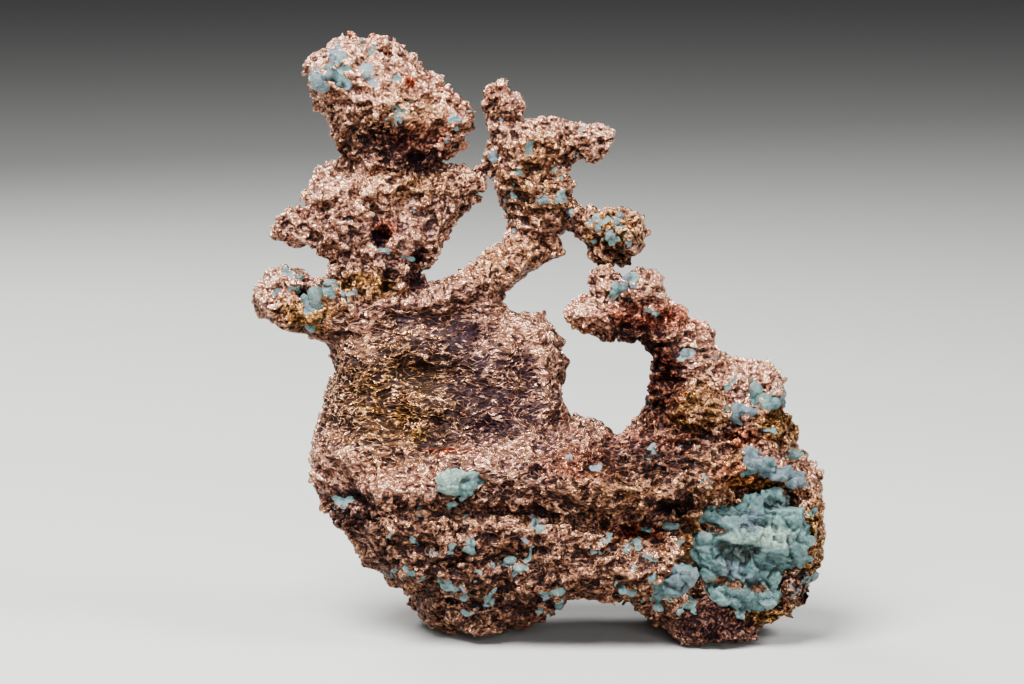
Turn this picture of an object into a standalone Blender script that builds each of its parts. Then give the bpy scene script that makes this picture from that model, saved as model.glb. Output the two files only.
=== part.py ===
"""Native copper nugget: a rough base mass with a wrinkled plate and three hackly branches, and the green minerals
that are grown into its hollows. Modelled in millimetres, and every finished mesh is scaled to metres at the end.

Frame: +Z up, -Y out of the nugget's showy side, +X to the right of that side, and the origin on the ground under
the middle of the nugget.
"""
import bpy
import bmesh
from mathutils import Matrix, Vector

# Driving dimensions, in millimetres
GRAIN = 0.55  # voxel size of the cast shapes
SKIN = 0.75  # thickness added over the lumps
SWELL = 1.6  # height of the broad lumps that the noise raises
SWELL_SIZE = 3.0
KNOB = 1.1  # height of the small knobs
KNOB_SIZE = 1.3
GAP = 0.3  # clearance between neighbouring pieces
GROUND = 0.0  # the worn contact spots lie on this plane

# A lump is the hull of a few balls. A ball is (x, z, radius) as seen from the showy side, then (y, half depth).
BASE_LUMPS = {
    "left core": ((-15.0, 13.5, 5.5, 1.5, 7.0), (-2.0, 11.0, 7.5, 1.5, 8.0)),
    "middle core": ((-2.0, 11.0, 7.5, 1.5, 8.0), (12.0, 12.0, 7.0, 1.5, 8.5)),
    "right core": ((12.0, 12.0, 7.0, 1.5, 8.5), (19.5, 11.0, 7.4, 1.0, 8.0)),
    "left edge": ((-18.6, 20.5, 2.6, 0.5, 4.0), (-18.6, 16.4, 2.8, 0.0, 5.0), (-17.0, 12.6, 2.8, 1.0, 5.5)),
    "left burr": ((-20.6, 20.9, 1.0, 0.5, 2.0), (-20.4, 16.0, 1.2, 0.5, 2.4)),
    "left flank": ((-15.4, 10.5, 3.2, 0.5, 5.5), (-12.3, 7.8, 3.2, 1.5, 6.0)),
    "shelf start": ((-18.4, 18.6, 2.0, -2.5, 3.2), (-14.8, 16.2, 1.8, -5.6, 2.8), (-15.5, 20.0, 2.0, -2.4, 2.8)),
    "shelf bend": ((-14.8, 16.2, 1.8, -5.6, 2.8), (-11.5, 16.4, 1.7, -6.6, 2.8), (-12.5, 20.0, 2.0, -3.0, 2.8)),
    "shelf rise": ((-11.5, 16.4, 1.7, -6.6, 2.8), (-5.8, 18.0, 1.4, -6.6, 2.8), (-8.0, 20.3, 1.8, -3.4, 2.8)),
    "shelf crest": ((-5.8, 18.0, 1.4, -6.6, 2.8), (0.5, 18.0, 1.4, -6.6, 2.8), (-2.0, 20.0, 1.8, -3.2, 2.8)),
    "shelf fall": ((0.5, 18.0, 1.4, -6.6, 2.8), (5.8, 16.0, 1.6, -7.0, 2.8), (4.0, 18.8, 1.8, -3.2, 2.8)),
    "cave roof": ((5.8, 16.0, 1.6, -7.0, 2.8), (10.8, 15.6, 1.6, -6.8, 2.8), (9.5, 17.8, 1.8, -3.4, 3.2)),
    "cave brow": ((10.8, 15.6, 1.6, -6.8, 2.8), (15.2, 16.6, 1.7, -6.4, 2.8), (14.5, 19.5, 2.2, -3.2, 3.2)),
    "brow end": ((15.2, 16.6, 1.7, -6.4, 2.8), (18.8, 17.8, 1.7, -5.4, 2.8), (18.5, 20.5, 2.2, -2.6, 3.2)),
    "belly top": ((-14.0, 12.4, 2.2, -3.8, 4.0), (-3.0, 11.2, 2.2, -5.0, 4.0), (6.0, 10.8, 2.0, -5.2, 4.0)),
    "belly": ((-12.0, 9.5, 2.8, -3.0, 4.8), (-4.0, 8.0, 3.4, -3.6, 5.2), (6.0, 8.4, 3.0, -4.2, 4.8)),
    "belly right": ((6.0, 8.4, 3.0, -4.2, 4.8), (12.0, 8.2, 2.8, -4.6, 4.6), (13.5, 10.0, 2.2, -4.8, 3.6)),
    "left foot": ((-9.0, 4.2, 3.0, 1.5, 5.6), (-3.0, 3.5, 2.8, 2.0, 5.8)),
    "left foot toe": ((-6.6, 3.2, 2.2, -2.5, 3.0), (-1.0, 4.2, 2.4, -2.5, 3.0)),
    "ring sill": ((-1.0, 19.3, 2.0, 0.0, 4.2), (5.0, 18.2, 1.9, 0.0, 4.4), (8.6, 17.4, 1.9, 0.0, 4.6)),
    "ring sill end": ((8.6, 17.4, 1.9, 0.0, 4.6), (12.6, 19.8, 2.4, 0.0, 4.8)),
    "right heap": ((14.6, 19.0, 4.4, 0.5, 6.0), (21.5, 17.5, 4.6, 0.5, 6.0), (16.5, 23.6, 3.6, 0.5, 4.8)),
    "right crest": ((17.0, 25.0, 2.4, 0.5, 4.0), (22.2, 24.4, 1.9, 0.5, 3.8)),
    "right knuckle": ((21.0, 21.4, 3.0, -0.5, 4.6), (23.4, 21.2, 1.9, -1.4, 3.6)),
    "boss": ((14.6, 23.4, 1.6, -4.4, 2.2), (16.6, 23.2, 1.6, -4.6, 2.2)),
    "right rim": ((25.6, 15.0, 2.3, -0.5, 5.0), (25.2, 8.0, 2.4, -0.5, 5.4), (23.6, 5.4, 2.4, -0.5, 5.4)),
    "right lip": ((26.2, 13.0, 1.4, -4.0, 2.2), (25.6, 7.0, 1.4, -4.0, 2.2), (22.6, 3.9, 1.3, -4.0, 2.2)),
    "pocket sill": ((22.6, 3.9, 1.3, -4.0, 2.2), (17.5, 3.6, 1.4, -5.6, 2.6), (13.2, 5.2, 1.4, -5.4, 2.6)),
    "right foot": ((15.8, 2.6, 2.7, -4.6, 3.0), (18.4, 2.7, 2.7, -4.6, 3.0)),
    "right foot heel": ((17.2, 3.4, 3.2, -1.5, 4.0), (21.5, 4.7, 3.0, -0.5, 5.0), (12.8, 4.2, 2.4, -0.5, 5.0)),
    "back left": ((-12.0, 9.5, 4.6, 5.0, 4.4), (2.0, 10.0, 6.0, 5.6, 5.0)),
    "back right": ((2.0, 10.0, 6.0, 5.6, 5.0), (16.5, 9.4, 5.4, 5.6, 4.6)),
    "back rib": ((-9.0, 15.0, 3.0, 5.0, 3.4), (-1.0, 17.0, 2.6, 4.8, 3.0), (9.0, 15.0, 3.0, 5.6, 3.4)),
    "back shoulder": ((-16.0, 16.4, 2.2, 3.6, 3.0), (-10.0, 18.0, 2.2, 5.2, 3.0)),
    "back boss": ((12.0, 16.0, 2.8, 6.0, 3.6), (18.6, 19.0, 2.4, 4.2, 3.2)),
    "back keel": ((-7.0, 7.4, 2.6, 8.0, 3.2), (7.0, 6.4, 2.8, 8.0, 3.4)),
    "back haunch": ((18.0, 8.4, 3.2, 6.0, 3.6), (22.4, 12.0, 2.4, 4.2, 3.2)),
    "back left foot": ((-10.4, 2.9, 2.6, 6.2, 3.0), (-5.2, 3.0, 2.7, 6.4, 3.2)),
    "back right foot": ((12.8, 3.0, 2.6, 6.8, 3.0), (17.0, 3.0, 2.6, 6.4, 3.0)),
}
PLATE_LUMPS = {
    "upper sheet": ((-17.6, 30.4, 1.9, 1.0, 2.6), (-4.0, 30.8, 1.8, 1.0, 2.6), (-17.4, 24.0, 2.2, 0.0, 3.0),
                    (-3.5, 26.0, 2.2, 0.0, 3.0)),
    "lower sheet": ((-18.2, 23.0, 2.2, -0.3, 3.0), (-2.5, 22.5, 2.4, -0.3, 3.2), (-17.6, 18.5, 2.2, -1.0, 3.8),
                    (-1.5, 18.5, 2.4, -1.0, 3.8)),
    "left hem": ((-18.4, 29.4, 1.6, 1.0, 2.2), (-19.0, 24.6, 1.5, 0.4, 2.6), (-19.2, 21.0, 1.5, 0.0, 2.8)),
    "right hem": ((0.2, 29.0, 1.5, 1.0, 2.0), (1.0, 26.6, 1.4, 0.6, 2.2), (0.2, 22.4, 1.6, 0.0, 2.8)),
    "upper corner": ((-6.0, 31.2, 1.5, 1.2, 2.2), (-0.6, 30.2, 1.4, 1.0, 2.0)),
    "fold": ((-12.0, 24.0, 1.6, -3.0, 1.4), (-3.5, 22.0, 1.6, -3.4, 1.4)),
    "upper fold": ((-14.0, 29.0, 1.2, -1.8, 1.2), (-6.0, 28.6, 1.2, -1.6, 1.2)),
}
LEFT_BRANCH_LUMPS = {
    "crown": ((-19.5, 56.6, 2.8, 3.0, 3.6), (-16.5, 56.8, 2.7, 3.0, 4.0), (-12.8, 53.6, 2.6, 3.0, 3.8)),
    "crown tip": ((-12.8, 53.6, 2.6, 3.0, 3.8), (-9.4, 51.9, 1.9, 2.8, 3.2), (-8.2, 51.9, 1.3, 2.8, 2.4)),
    "crown chin": ((-18.4, 52.2, 2.3, 3.0, 3.6), (-9.4, 49.8, 1.2, 2.8, 2.4), (-13.5, 50.0, 2.4, 3.0, 3.4)),
    "jaw": ((-17.6, 50.2, 2.0, 3.0, 2.8), (-15.5, 50.0, 2.2, 3.0, 3.2)),
    "brow": ((-20.2, 55.0, 1.8, 1.6, 2.6), (-16.0, 54.4, 1.8, 0.4, 2.4), (-13.0, 52.4, 1.6, 0.4, 2.4)),
    "throat": ((-16.2, 47.8, 2.6, 3.0, 3.0), (-13.2, 47.6, 2.2, 3.0, 3.0)),
    "shoulder": ((-19.8, 44.0, 2.2, 2.6, 3.0), (-15.0, 44.2, 2.7, 2.6, 3.4), (-11.5, 44.0, 2.3, 2.6, 3.0)),
    "lobe": ((-19.0, 40.5, 2.6, 2.2, 3.4), (-13.5, 39.5, 3.0, 2.0, 3.6), (-11.4, 40.5, 1.8, 2.0, 3.0)),
    "waist": ((-18.0, 36.4, 2.5, 1.8, 3.4), (-14.4, 36.0, 2.5, 1.5, 3.4), (-15.8, 33.4, 3.2, 1.2, 3.0)),
    "link root": ((-11.8, 42.0, 2.2, 2.4, 3.0), (-9.6, 43.6, 1.5, 2.4, 2.4)),
    "link": ((-9.6, 43.6, 1.4, 2.4, 2.2), (-7.4, 45.6, 0.9, 2.6, 1.4), (-5.8, 46.6, 0.5, 2.8, 0.8)),
    "thumb": ((-21.5, 41.4, 1.6, 2.0, 2.0), (-25.2, 41.2, 1.0, 1.6, 1.2)),
    "thumb tip": ((-25.2, 41.2, 1.0, 1.6, 1.2), (-26.2, 40.4, 0.5, 1.4, 0.6)),
    "knob": ((-25.6, 34.6, 2.3, 0.5, 2.6), (-23.5, 33.4, 2.1, 0.5, 2.6)),
    "knob root": ((-23.0, 33.0, 2.1, 0.5, 2.6), (-21.2, 32.0, 1.8, 0.8, 2.4), (-19.0, 33.4, 2.0, 1.0, 2.6)),
}
MIDDLE_BRANCH_LUMPS = {
    "ramp root": ((-13.0, 33.4, 1.1, -0.5, 1.6), (-9.8, 34.6, 1.6, -0.2, 2.0), (-6.0, 35.4, 1.6, 0.5, 2.0)),
    "ramp foot": ((-9.5, 33.0, 1.6, 0.5, 2.0), (-6.0, 34.0, 1.6, 0.6, 2.0)),
    "ramp": ((-6.0, 35.2, 1.7, 0.6, 2.0), (-3.4, 37.0, 1.8, 1.4, 2.0), (-0.8, 39.2, 2.0, 2.0, 2.2)),
    "stem": ((-0.6, 39.6, 1.9, 2.2, 2.2), (0.4, 42.4, 2.2, 2.6, 2.4)),
    "bole": ((0.2, 43.2, 2.4, 2.8, 2.6), (1.7, 45.4, 2.2, 2.8, 2.6), (-1.6, 46.0, 1.9, 2.8, 2.4)),
    "burl": ((-2.2, 49.0, 2.1, 2.8, 2.6), (0.9, 49.4, 2.0, 2.8, 2.6), (-1.6, 45.8, 2.0, 2.8, 2.4)),
    "link cheek": ((-4.4, 48.2, 0.7, 2.8, 1.2), (-3.0, 48.6, 1.2, 2.8, 1.8)),
    "horn root": ((-3.0, 51.0, 1.0, 2.8, 1.4), (-3.6, 53.4, 1.0, 2.6, 1.2)),
    "horn": ((-3.6, 53.4, 1.1, 2.6, 1.2), (-4.4, 54.6, 0.6, 2.4, 0.8), (-2.2, 53.0, 0.6, 2.6, 0.8)),
    "horn spur": ((-3.8, 53.6, 0.7, 2.6, 0.8), (-5.0, 53.6, 0.4, 2.6, 0.6)),
    "finger root": ((2.0, 50.0, 1.0, 2.8, 1.4), (3.4, 49.8, 1.0, 2.8, 1.2)),
    "finger": ((3.6, 49.8, 1.0, 2.8, 1.2), (5.2, 49.5, 1.5, 2.8, 1.5), (6.4, 50.0, 0.8, 2.8, 1.1)),
    "berry stalk": ((3.0, 42.2, 0.8, 2.6, 1.0), (5.6, 41.8, 0.8, 2.2, 1.0)),
    "berry": ((6.8, 40.4, 2.2, 2.0, 2.3), (8.4, 40.4, 2.1, 2.0, 2.3)),
    "spur": ((1.4, 39.0, 0.9, 2.0, 1.0), (2.6, 38.4, 0.4, 1.6, 0.5)),
}
RIGHT_BRANCH_LUMPS = {
    "fan": ((6.0, 32.4, 1.7, -1.0, 1.3), (4.0, 32.9, 0.9, -1.4, 0.9), (8.4, 31.6, 1.7, -0.6, 1.5)),
    "fan tip": ((4.0, 32.9, 0.7, -1.4, 0.8), (2.9, 32.8, 0.35, -1.6, 0.4)),
    "left horn": ((6.6, 35.2, 1.3, -0.4, 1.4), (7.0, 33.4, 1.6, -0.4, 1.6)),
    "right horn": ((10.2, 34.8, 1.7, 0.0, 2.0), (11.4, 36.0, 0.6, 0.2, 0.8), (9.8, 32.4, 2.1, 0.0, 2.0)),
    "forearm": ((10.4, 32.6, 2.2, 0.0, 2.0), (13.4, 30.6, 2.0, 0.4, 2.4)),
    "elbow": ((13.6, 30.4, 2.1, 0.4, 2.4), (16.2, 30.2, 1.4, 0.6, 2.2), (14.8, 27.4, 2.6, 0.4, 3.0)),
    "upper arm": ((14.8, 27.4, 2.6, 0.4, 3.0), (14.8, 24.0, 2.8, 0.4, 3.6)),
}
# Hollows are cut out of the copper. They are written like lumps.
BASE_HOLLOWS = {
    "cave": ((7.4, 12.6, 0.9, -9.5, 3.6), (11.0, 12.5, 1.3, -9.5, 4.6), (14.4, 13.0, 0.9, -9.5, 3.4)),
    "cave throat": ((12.6, 14.0, 0.7, -8.8, 3.0), (14.2, 14.4, 0.5, -8.8, 2.6)),
    "brow pit": ((16.8, 15.4, 0.6, -8.6, 2.6), (18.0, 15.8, 0.5, -8.4, 2.2)),
    "recess": ((-4.4, 15.0, 0.8, -9.6, 2.6), (0.6, 14.4, 1.4, -9.8, 3.2), (5.0, 13.2, 0.9, -9.8, 2.6)),
    "back hollow": ((-2.0, 13.4, 1.2, 12.6, 3.0), (4.6, 12.8, 1.6, 13.0, 3.6)),
    "back nick": ((10.0, 10.4, 1.0, 12.6, 2.6), (13.6, 12.4, 0.8, 11.8, 2.6)),
    "arch": ((6.2, 0.9, 2.4, -9.0, 5.0), (5.6, 0.2, 2.9, 4.0, 9.0)),
}
LEFT_BRANCH_HOLLOWS = {
    "pit": ((-15.7, 39.8, 0.6, -1.8, 1.8),),
    "lower pit": ((-14.9, 35.6, 0.7, -2.2, 1.6),),
}
# The minerals: each is a cluster of lumps seated in a hollow of the copper it names.
MINERAL_LUMPS = {
    "green_pocket": {
        "floor": ((18.0, 8.0, 2.0, -3.8, 2.0), (23.6, 8.5, 2.4, -3.4, 2.0), (22.5, 12.0, 2.4, -3.6, 2.0)),
        "top lobe": ((24.0, 13.4, 1.8, -6.0, 2.2), (22.0, 14.0, 1.4, -6.4, 1.8)),
        "right lobe": ((25.2, 11.2, 1.5, -5.4, 2.2), (24.4, 9.6, 1.6, -5.4, 2.2)),
        "crest": ((18.6, 11.4, 1.1, -7.0, 1.7), (21.0, 10.4, 1.2, -7.4, 1.7), (24.2, 10.8, 1.2, -7.0, 1.8)),
        "grey lobe": ((20.2, 12.8, 1.2, -6.2, 1.6), (18.6, 12.6, 0.9, -6.0, 1.4)),
        "left spur": ((16.4, 13.2, 0.6, -5.8, 1.2), (18.4, 12.9, 0.7, -6.0, 1.4)),
        "left lobe": ((16.6, 10.6, 1.1, -6.2, 1.6), (18.2, 9.8, 1.2, -6.4, 1.7), (17.0, 8.6, 1.0, -6.2, 1.5)),
        "middle lobe": ((19.6, 7.8, 1.5, -6.0, 2.0), (22.6, 8.2, 1.5, -5.8, 2.0)),
        "foot lobe": ((18.4, 5.8, 1.2, -6.4, 1.6), (22.0, 5.8, 1.4, -6.0, 1.8)),
    },
    "blue_lobe": {
        "lobe": ((14.2, 7.6, 1.1, -7.8, 1.4), (12.8, 6.8, 0.8, -7.8, 1.2), (11.8, 6.9, 0.6, -7.8, 1.0)),
    },
    "upper_green_seam": {
        "seam": ((18.8, 22.8, 0.7, -4.6, 1.1), (20.8, 23.2, 0.8, -4.6, 1.2)),
        "head": ((21.4, 24.2, 0.9, -4.0, 1.3), (23.2, 24.6, 0.8, -3.2, 1.2)),
    },
    "side_green_seam": {
        "upper seam": ((20.4, 19.4, 0.9, -5.6, 1.4), (22.4, 18.0, 1.1, -5.8, 1.5)),
        "lower seam": ((22.4, 18.0, 1.1, -5.8, 1.5), (26.2, 16.2, 0.9, -4.4, 1.3)),
    },
    "shelf_green_patch": {
        "patch": ((-9.0, 16.9, 0.8, -8.6, 1.2), (-6.2, 17.3, 0.5, -8.6, 1.2)),
    },
    "knob_crystal": {
        "crystal": ((-22.4, 32.2, 1.1, -1.6, 1.4), (-22.0, 33.4, 0.8, -1.6, 1.2)),
    },
    "knob_green_crust": {
        "crust": ((-25.4, 36.2, 0.9, -0.6, 1.4), (-24.2, 35.4, 0.7, -1.2, 1.3)),
    },
    "head_green_patch": {
        "patch": ((-21.4, 55.6, 1.0, -1.0, 1.2), (-20.4, 57.2, 0.9, -0.4, 1.2)),
    },
    "berry_green_crust": {
        "crust": ((8.0, 41.0, 1.0, -0.2, 1.2), (9.0, 39.6, 0.8, 0.0, 1.2)),
    },
    "arm_green_crust": {
        "crust": ((8.4, 35.2, 0.8, -1.2, 1.2), (9.6, 35.4, 0.7, -1.8, 1.2)),
    },
}
SEATS = {
    "base_mass": ("green_pocket", "blue_lobe", "upper_green_seam", "side_green_seam", "shelf_green_patch"),
    "left_branch": ("knob_crystal", "knob_green_crust", "head_green_patch"),
    "middle_branch": ("berry_green_crust",),
    "right_branch": ("arm_green_crust",),
}
COPPER_TRIANGLES = {
    "base_mass": 2900,
    "plate": 1000,
    "left_branch": 1600,
    "middle_branch": 1200,
    "right_branch": 700,
}
MINERAL_TRIANGLES = {
    "green_pocket": 500,
    "blue_lobe": 90,
    "upper_green_seam": 110,
    "side_green_seam": 130,
    "shelf_green_patch": 70,
    "knob_crystal": 70,
    "knob_green_crust": 70,
    "head_green_patch": 70,
    "berry_green_crust": 70,
    "arm_green_crust": 70,
}


def clear_scene():
    for obj in list(bpy.data.objects):
        bpy.data.objects.remove(obj)


def finish(name, colour, metallic, roughness):
    """A plain Principled finish."""
    material = bpy.data.materials.new(name)
    material.use_nodes = True
    shader = material.node_tree.nodes["Principled BSDF"]
    shader.inputs["Base Color"].default_value = (*colour, 1.0)
    shader.inputs["Metallic"].default_value = metallic
    shader.inputs["Roughness"].default_value = roughness
    return material


def add_hull(mesh, balls):
    """Adds the hull of a lump's balls to mesh."""
    bm = bmesh.new()
    for x, z, radius, y, half_depth in balls:
        place = Matrix.Translation((x, y, z)) @ Matrix.Diagonal((radius, half_depth, radius, 1.0))
        bmesh.ops.create_icosphere(bm, subdivisions=2, radius=1.0, matrix=place)
    bmesh.ops.delete(bm, geom=bm.edges[:], context="EDGES_FACES")
    bmesh.ops.convex_hull(bm, input=bm.verts[:])
    bmesh.ops.delete(bm, geom=[vert for vert in bm.verts if not vert.link_faces], context="VERTS")
    bmesh.ops.recalc_face_normals(bm, faces=bm.faces[:])
    bm.from_mesh(mesh)
    bm.to_mesh(mesh)
    bm.free()


def lump_object(name, lumps):
    """One object holding the hull of every lump."""
    mesh = bpy.data.meshes.new(name)
    for balls in lumps.values():
        add_hull(mesh, balls)
    obj = bpy.data.objects.new(name, mesh)
    bpy.context.scene.collection.objects.link(obj)
    return obj


def apply_modifiers(obj):
    """Swaps the object's mesh for the one its modifiers make."""
    graph = bpy.context.evaluated_depsgraph_get()
    made = bpy.data.meshes.new_from_object(obj.evaluated_get(graph))
    obj.modifiers.clear()
    old = obj.data
    obj.data = made
    bpy.data.meshes.remove(old)


def noise_lumps(obj, size, height):
    texture = bpy.data.textures.new(f"{obj.name} {size}", "CLOUDS")
    texture.noise_scale = size
    texture.noise_depth = 1
    displace = obj.modifiers.new("lumps", "DISPLACE")
    displace.texture = texture
    displace.texture_coords = "GLOBAL"
    displace.strength = height
    displace.mid_level = 0.5


def fuse(obj, voxel):
    remesh = obj.modifiers.new("fuse", "REMESH")
    remesh.mode = "VOXEL"
    remesh.voxel_size = voxel


def thin_to(obj, triangles):
    obj.data.calc_loop_triangles()
    decimate = obj.modifiers.new("facets", "DECIMATE")
    decimate.ratio = min(1.0, triangles / len(obj.data.loop_triangles))
    decimate.use_collapse_triangulate = True
    apply_modifiers(obj)


def grow(obj, height):
    displace = obj.modifiers.new("grow", "DISPLACE")
    displace.strength = height
    displace.mid_level = 0.0


def cast(name, lumps, triangles, voxel=GRAIN, rough=1.0):
    """Fuses lumps into one solid, raises the noise's lumps and knobs on it and thins it to facets."""
    obj = lump_object(name, lumps)
    fuse(obj, voxel)
    grow(obj, SKIN * rough)
    noise_lumps(obj, SWELL_SIZE, SWELL * rough)
    noise_lumps(obj, KNOB_SIZE, KNOB * rough)
    fuse(obj, voxel)
    apply_modifiers(obj)
    thin_to(obj, triangles)
    return obj


def cut(obj, cutter):
    boolean = obj.modifiers.new("cut", "BOOLEAN")
    boolean.operation = "DIFFERENCE"
    boolean.object = cutter
    apply_modifiers(obj)
    bpy.data.objects.remove(cutter)


def swollen_copy(obj, margin):
    """A closed copy of obj that is larger by margin on every side."""
    copy = bpy.data.objects.new(f"{obj.name} swollen", obj.data.copy())
    bpy.context.scene.collection.objects.link(copy)
    grow(copy, margin)
    fuse(copy, 0.5 * GRAIN)
    apply_modifiers(copy)
    thin_to(copy, len(obj.data.polygons))
    return copy


def keep_largest(obj):
    """Drops the crumbs that a cut leaves beside the main solid."""
    bm = bmesh.new()
    bm.from_mesh(obj.data)
    waiting, islands = set(bm.verts), []
    while waiting:
        stack, island = [waiting.pop()], []
        while stack:
            vert = stack.pop()
            island.append(vert)
            for edge in vert.link_edges:
                other = edge.other_vert(vert)
                if other in waiting:
                    waiting.discard(other)
                    stack.append(other)
        islands.append(island)
    islands.sort(key=len)
    for island in islands[:-1]:
        bmesh.ops.delete(bm, geom=island, context="VERTS")
    bm.to_mesh(obj.data)
    bm.free()


def ground_cutter():
    mesh = bpy.data.meshes.new("ground")
    bm = bmesh.new()
    bmesh.ops.create_cube(bm, size=1.0, matrix=Matrix.Translation((0, 0, GROUND - 10.0)) @ Matrix.Diagonal(
        (90.0, 60.0, 20.0, 1.0)))
    bm.to_mesh(mesh)
    bm.free()
    obj = bpy.data.objects.new("ground", mesh)
    bpy.context.scene.collection.objects.link(obj)
    return obj


def middle_of(objects):
    """The point on the ground under the middle of the objects' common box."""
    points = [vert.co for obj in objects for vert in obj.data.vertices]
    x = [point.x for point in points]
    y = [point.y for point in points]
    return Vector(((min(x) + max(x)) / 2, (min(y) + max(y)) / 2, GROUND))


def to_metres(obj, middle):
    """Moves the origin to middle and turns millimetres into metres."""
    obj.data.transform(Matrix.Scale(0.001, 4) @ Matrix.Translation(-middle))


clear_scene()
copper = finish("hackly copper", (0.60, 0.29, 0.19), 1.0, 0.38)
green = finish("pale green mineral", (0.27, 0.45, 0.40), 0.0, 0.5)

minerals = {name: cast(name, lumps, MINERAL_TRIANGLES[name], 0.4, 0.4) for name, lumps in MINERAL_LUMPS.items()}
base = cast("base_mass", BASE_LUMPS, COPPER_TRIANGLES["base_mass"])
plate = cast("plate", PLATE_LUMPS, COPPER_TRIANGLES["plate"])
left = cast("left_branch", LEFT_BRANCH_LUMPS, COPPER_TRIANGLES["left_branch"])
middle = cast("middle_branch", MIDDLE_BRANCH_LUMPS, COPPER_TRIANGLES["middle_branch"], 0.4, 0.7)
right = cast("right_branch", RIGHT_BRANCH_LUMPS, COPPER_TRIANGLES["right_branch"], 0.45, 0.8)

for obj, hollows in ((base, BASE_HOLLOWS), (left, LEFT_BRANCH_HOLLOWS)):
    for name, balls in hollows.items():
        cut(obj, lump_object(name, {name: balls}))
for child, parent in ((plate, base), (right, base), (left, plate), (middle, plate), (middle, left)):
    cut(child, swollen_copy(parent, GAP))
for parent in (base, left, middle, right):
    for name in SEATS[parent.name]:
        cut(parent, swollen_copy(minerals[name], GAP))
for obj in (base, plate, left, middle, right):
    keep_largest(obj)
    thin_to(obj, 1.15 * COPPER_TRIANGLES[obj.name])
cut(base, ground_cutter())
for obj in (base, plate, left, middle, right):
    obj.data.materials.clear()
    obj.data.materials.append(copper)
for obj in minerals.values():
    obj.data.materials.clear()
    obj.data.materials.append(green)
everything = (base, plate, left, middle, right, *minerals.values())
centre = middle_of(everything)
for obj in everything:
    to_metres(obj, centre)
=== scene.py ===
import math

import bpy
import numpy as np
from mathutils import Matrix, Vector, noise
from mathutils.bvhtree import BVHTree
from mathutils.kdtree import KDTree


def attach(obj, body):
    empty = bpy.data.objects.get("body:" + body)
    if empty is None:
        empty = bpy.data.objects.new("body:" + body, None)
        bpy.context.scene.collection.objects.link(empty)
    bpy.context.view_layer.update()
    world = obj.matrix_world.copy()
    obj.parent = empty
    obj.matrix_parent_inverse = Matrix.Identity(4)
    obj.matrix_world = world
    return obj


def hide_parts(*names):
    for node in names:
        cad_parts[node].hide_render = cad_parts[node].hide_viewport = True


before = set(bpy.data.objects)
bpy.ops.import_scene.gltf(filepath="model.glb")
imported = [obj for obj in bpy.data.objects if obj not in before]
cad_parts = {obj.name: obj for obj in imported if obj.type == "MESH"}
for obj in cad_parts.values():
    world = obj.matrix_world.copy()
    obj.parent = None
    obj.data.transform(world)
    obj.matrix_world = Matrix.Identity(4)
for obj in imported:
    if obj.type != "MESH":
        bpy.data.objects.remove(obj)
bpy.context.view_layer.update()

mm = 0.001
scene = bpy.context.scene
noise.seed_set(1)   # without it, the vector noise differs from run to run
# the tables below place things as seen from in front and 8 degrees above, in mm
frameShift = (0.19, 0.83)    # the nugget's box is centred, so its x and y are this much less
sightSlope, sightSquash = 0.14, 0.99    # tangent and cosine of those 8 degrees


def deselectAll():
    if bpy.context.object and bpy.context.object.mode != "OBJECT":
        bpy.ops.object.mode_set(mode="OBJECT")
    bpy.ops.object.select_all(action="DESELECT")


def makeActive(piece):
    deselectAll()
    piece.select_set(True)
    bpy.context.view_layer.objects.active = piece


def useModifier(piece, kind, **settings):
    makeActive(piece)
    modifier = piece.modifiers.new(kind.lower(), kind)
    for key, value in settings.items():
        setattr(modifier, key, value)
    bpy.ops.object.modifier_apply(modifier=modifier.name)


def hexColour(text):   # sRGB hex to linear
    parts = [int(text[i:i + 2], 16) / 255 for i in (1, 3, 5)]
    return tuple(p / 12.92 if p <= 0.04045 else ((p + 0.055) / 1.055) ** 2.4 for p in parts) + (1.0,)


def addNode(tree, kind, settings=None, links=None):
    node = tree.nodes.new(kind)
    for key, value in (settings or {}).items():
        if isinstance(key, int) or key in node.inputs:
            node.inputs[key].default_value = value
        else:
            setattr(node, key, value)
    for key, source in (links or {}).items():
        tree.links.new(source, node.inputs[key])
    return node


def setRamp(node, ends, between=()):   # colour stops, each a place on the ramp and a linear colour
    for element, (spot, colour) in zip(node.color_ramp.elements, ends):
        element.position = spot
        element.color = colour
    for spot, colour in between:
        node.color_ramp.elements.new(spot).color = colour


# a relief in which each Voronoi cell leans its own way, as small broken faces do
def leaningCells(tree, place, cells, distance):
    within = addNode(tree, "ShaderNodeVectorMath", {"operation": "SUBTRACT"},
                     {0: place.outputs[0], 1: cells.outputs["Position"]})
    lean = addNode(tree, "ShaderNodeVectorMath", {"operation": "SUBTRACT", 1: (0.5, 0.5, 0.5)},
                   {0: cells.outputs["Color"]})
    slope = addNode(tree, "ShaderNodeVectorMath", {"operation": "DOT_PRODUCT"},
                    {0: within.outputs[0], 1: lean.outputs[0]})
    return addNode(tree, "ShaderNodeBump", {"Strength": 1.0, "Distance": distance * mm},
                   {"Height": slope.outputs["Value"]})


camera = {"distance": 380, "elevation": 8, "aim": (-2.6, 0, 29.8), "lens": 133.6}
elevation = math.radians(camera["elevation"])
aim = Vector((camera["aim"][0] - frameShift[0], camera["aim"][1] - frameShift[1], camera["aim"][2])) * mm
bpy.ops.object.camera_add(
    location=aim + Vector((0, -math.cos(elevation), math.sin(elevation))) * camera["distance"] * mm,
    rotation=(math.pi / 2 - elevation, 0, 0))
scene.camera = bpy.context.object
scene.camera.data.lens = camera["lens"]
scene.camera.data.sensor_width = 36
scene.camera.data.clip_start = 0.01
print("camera placed")

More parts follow.
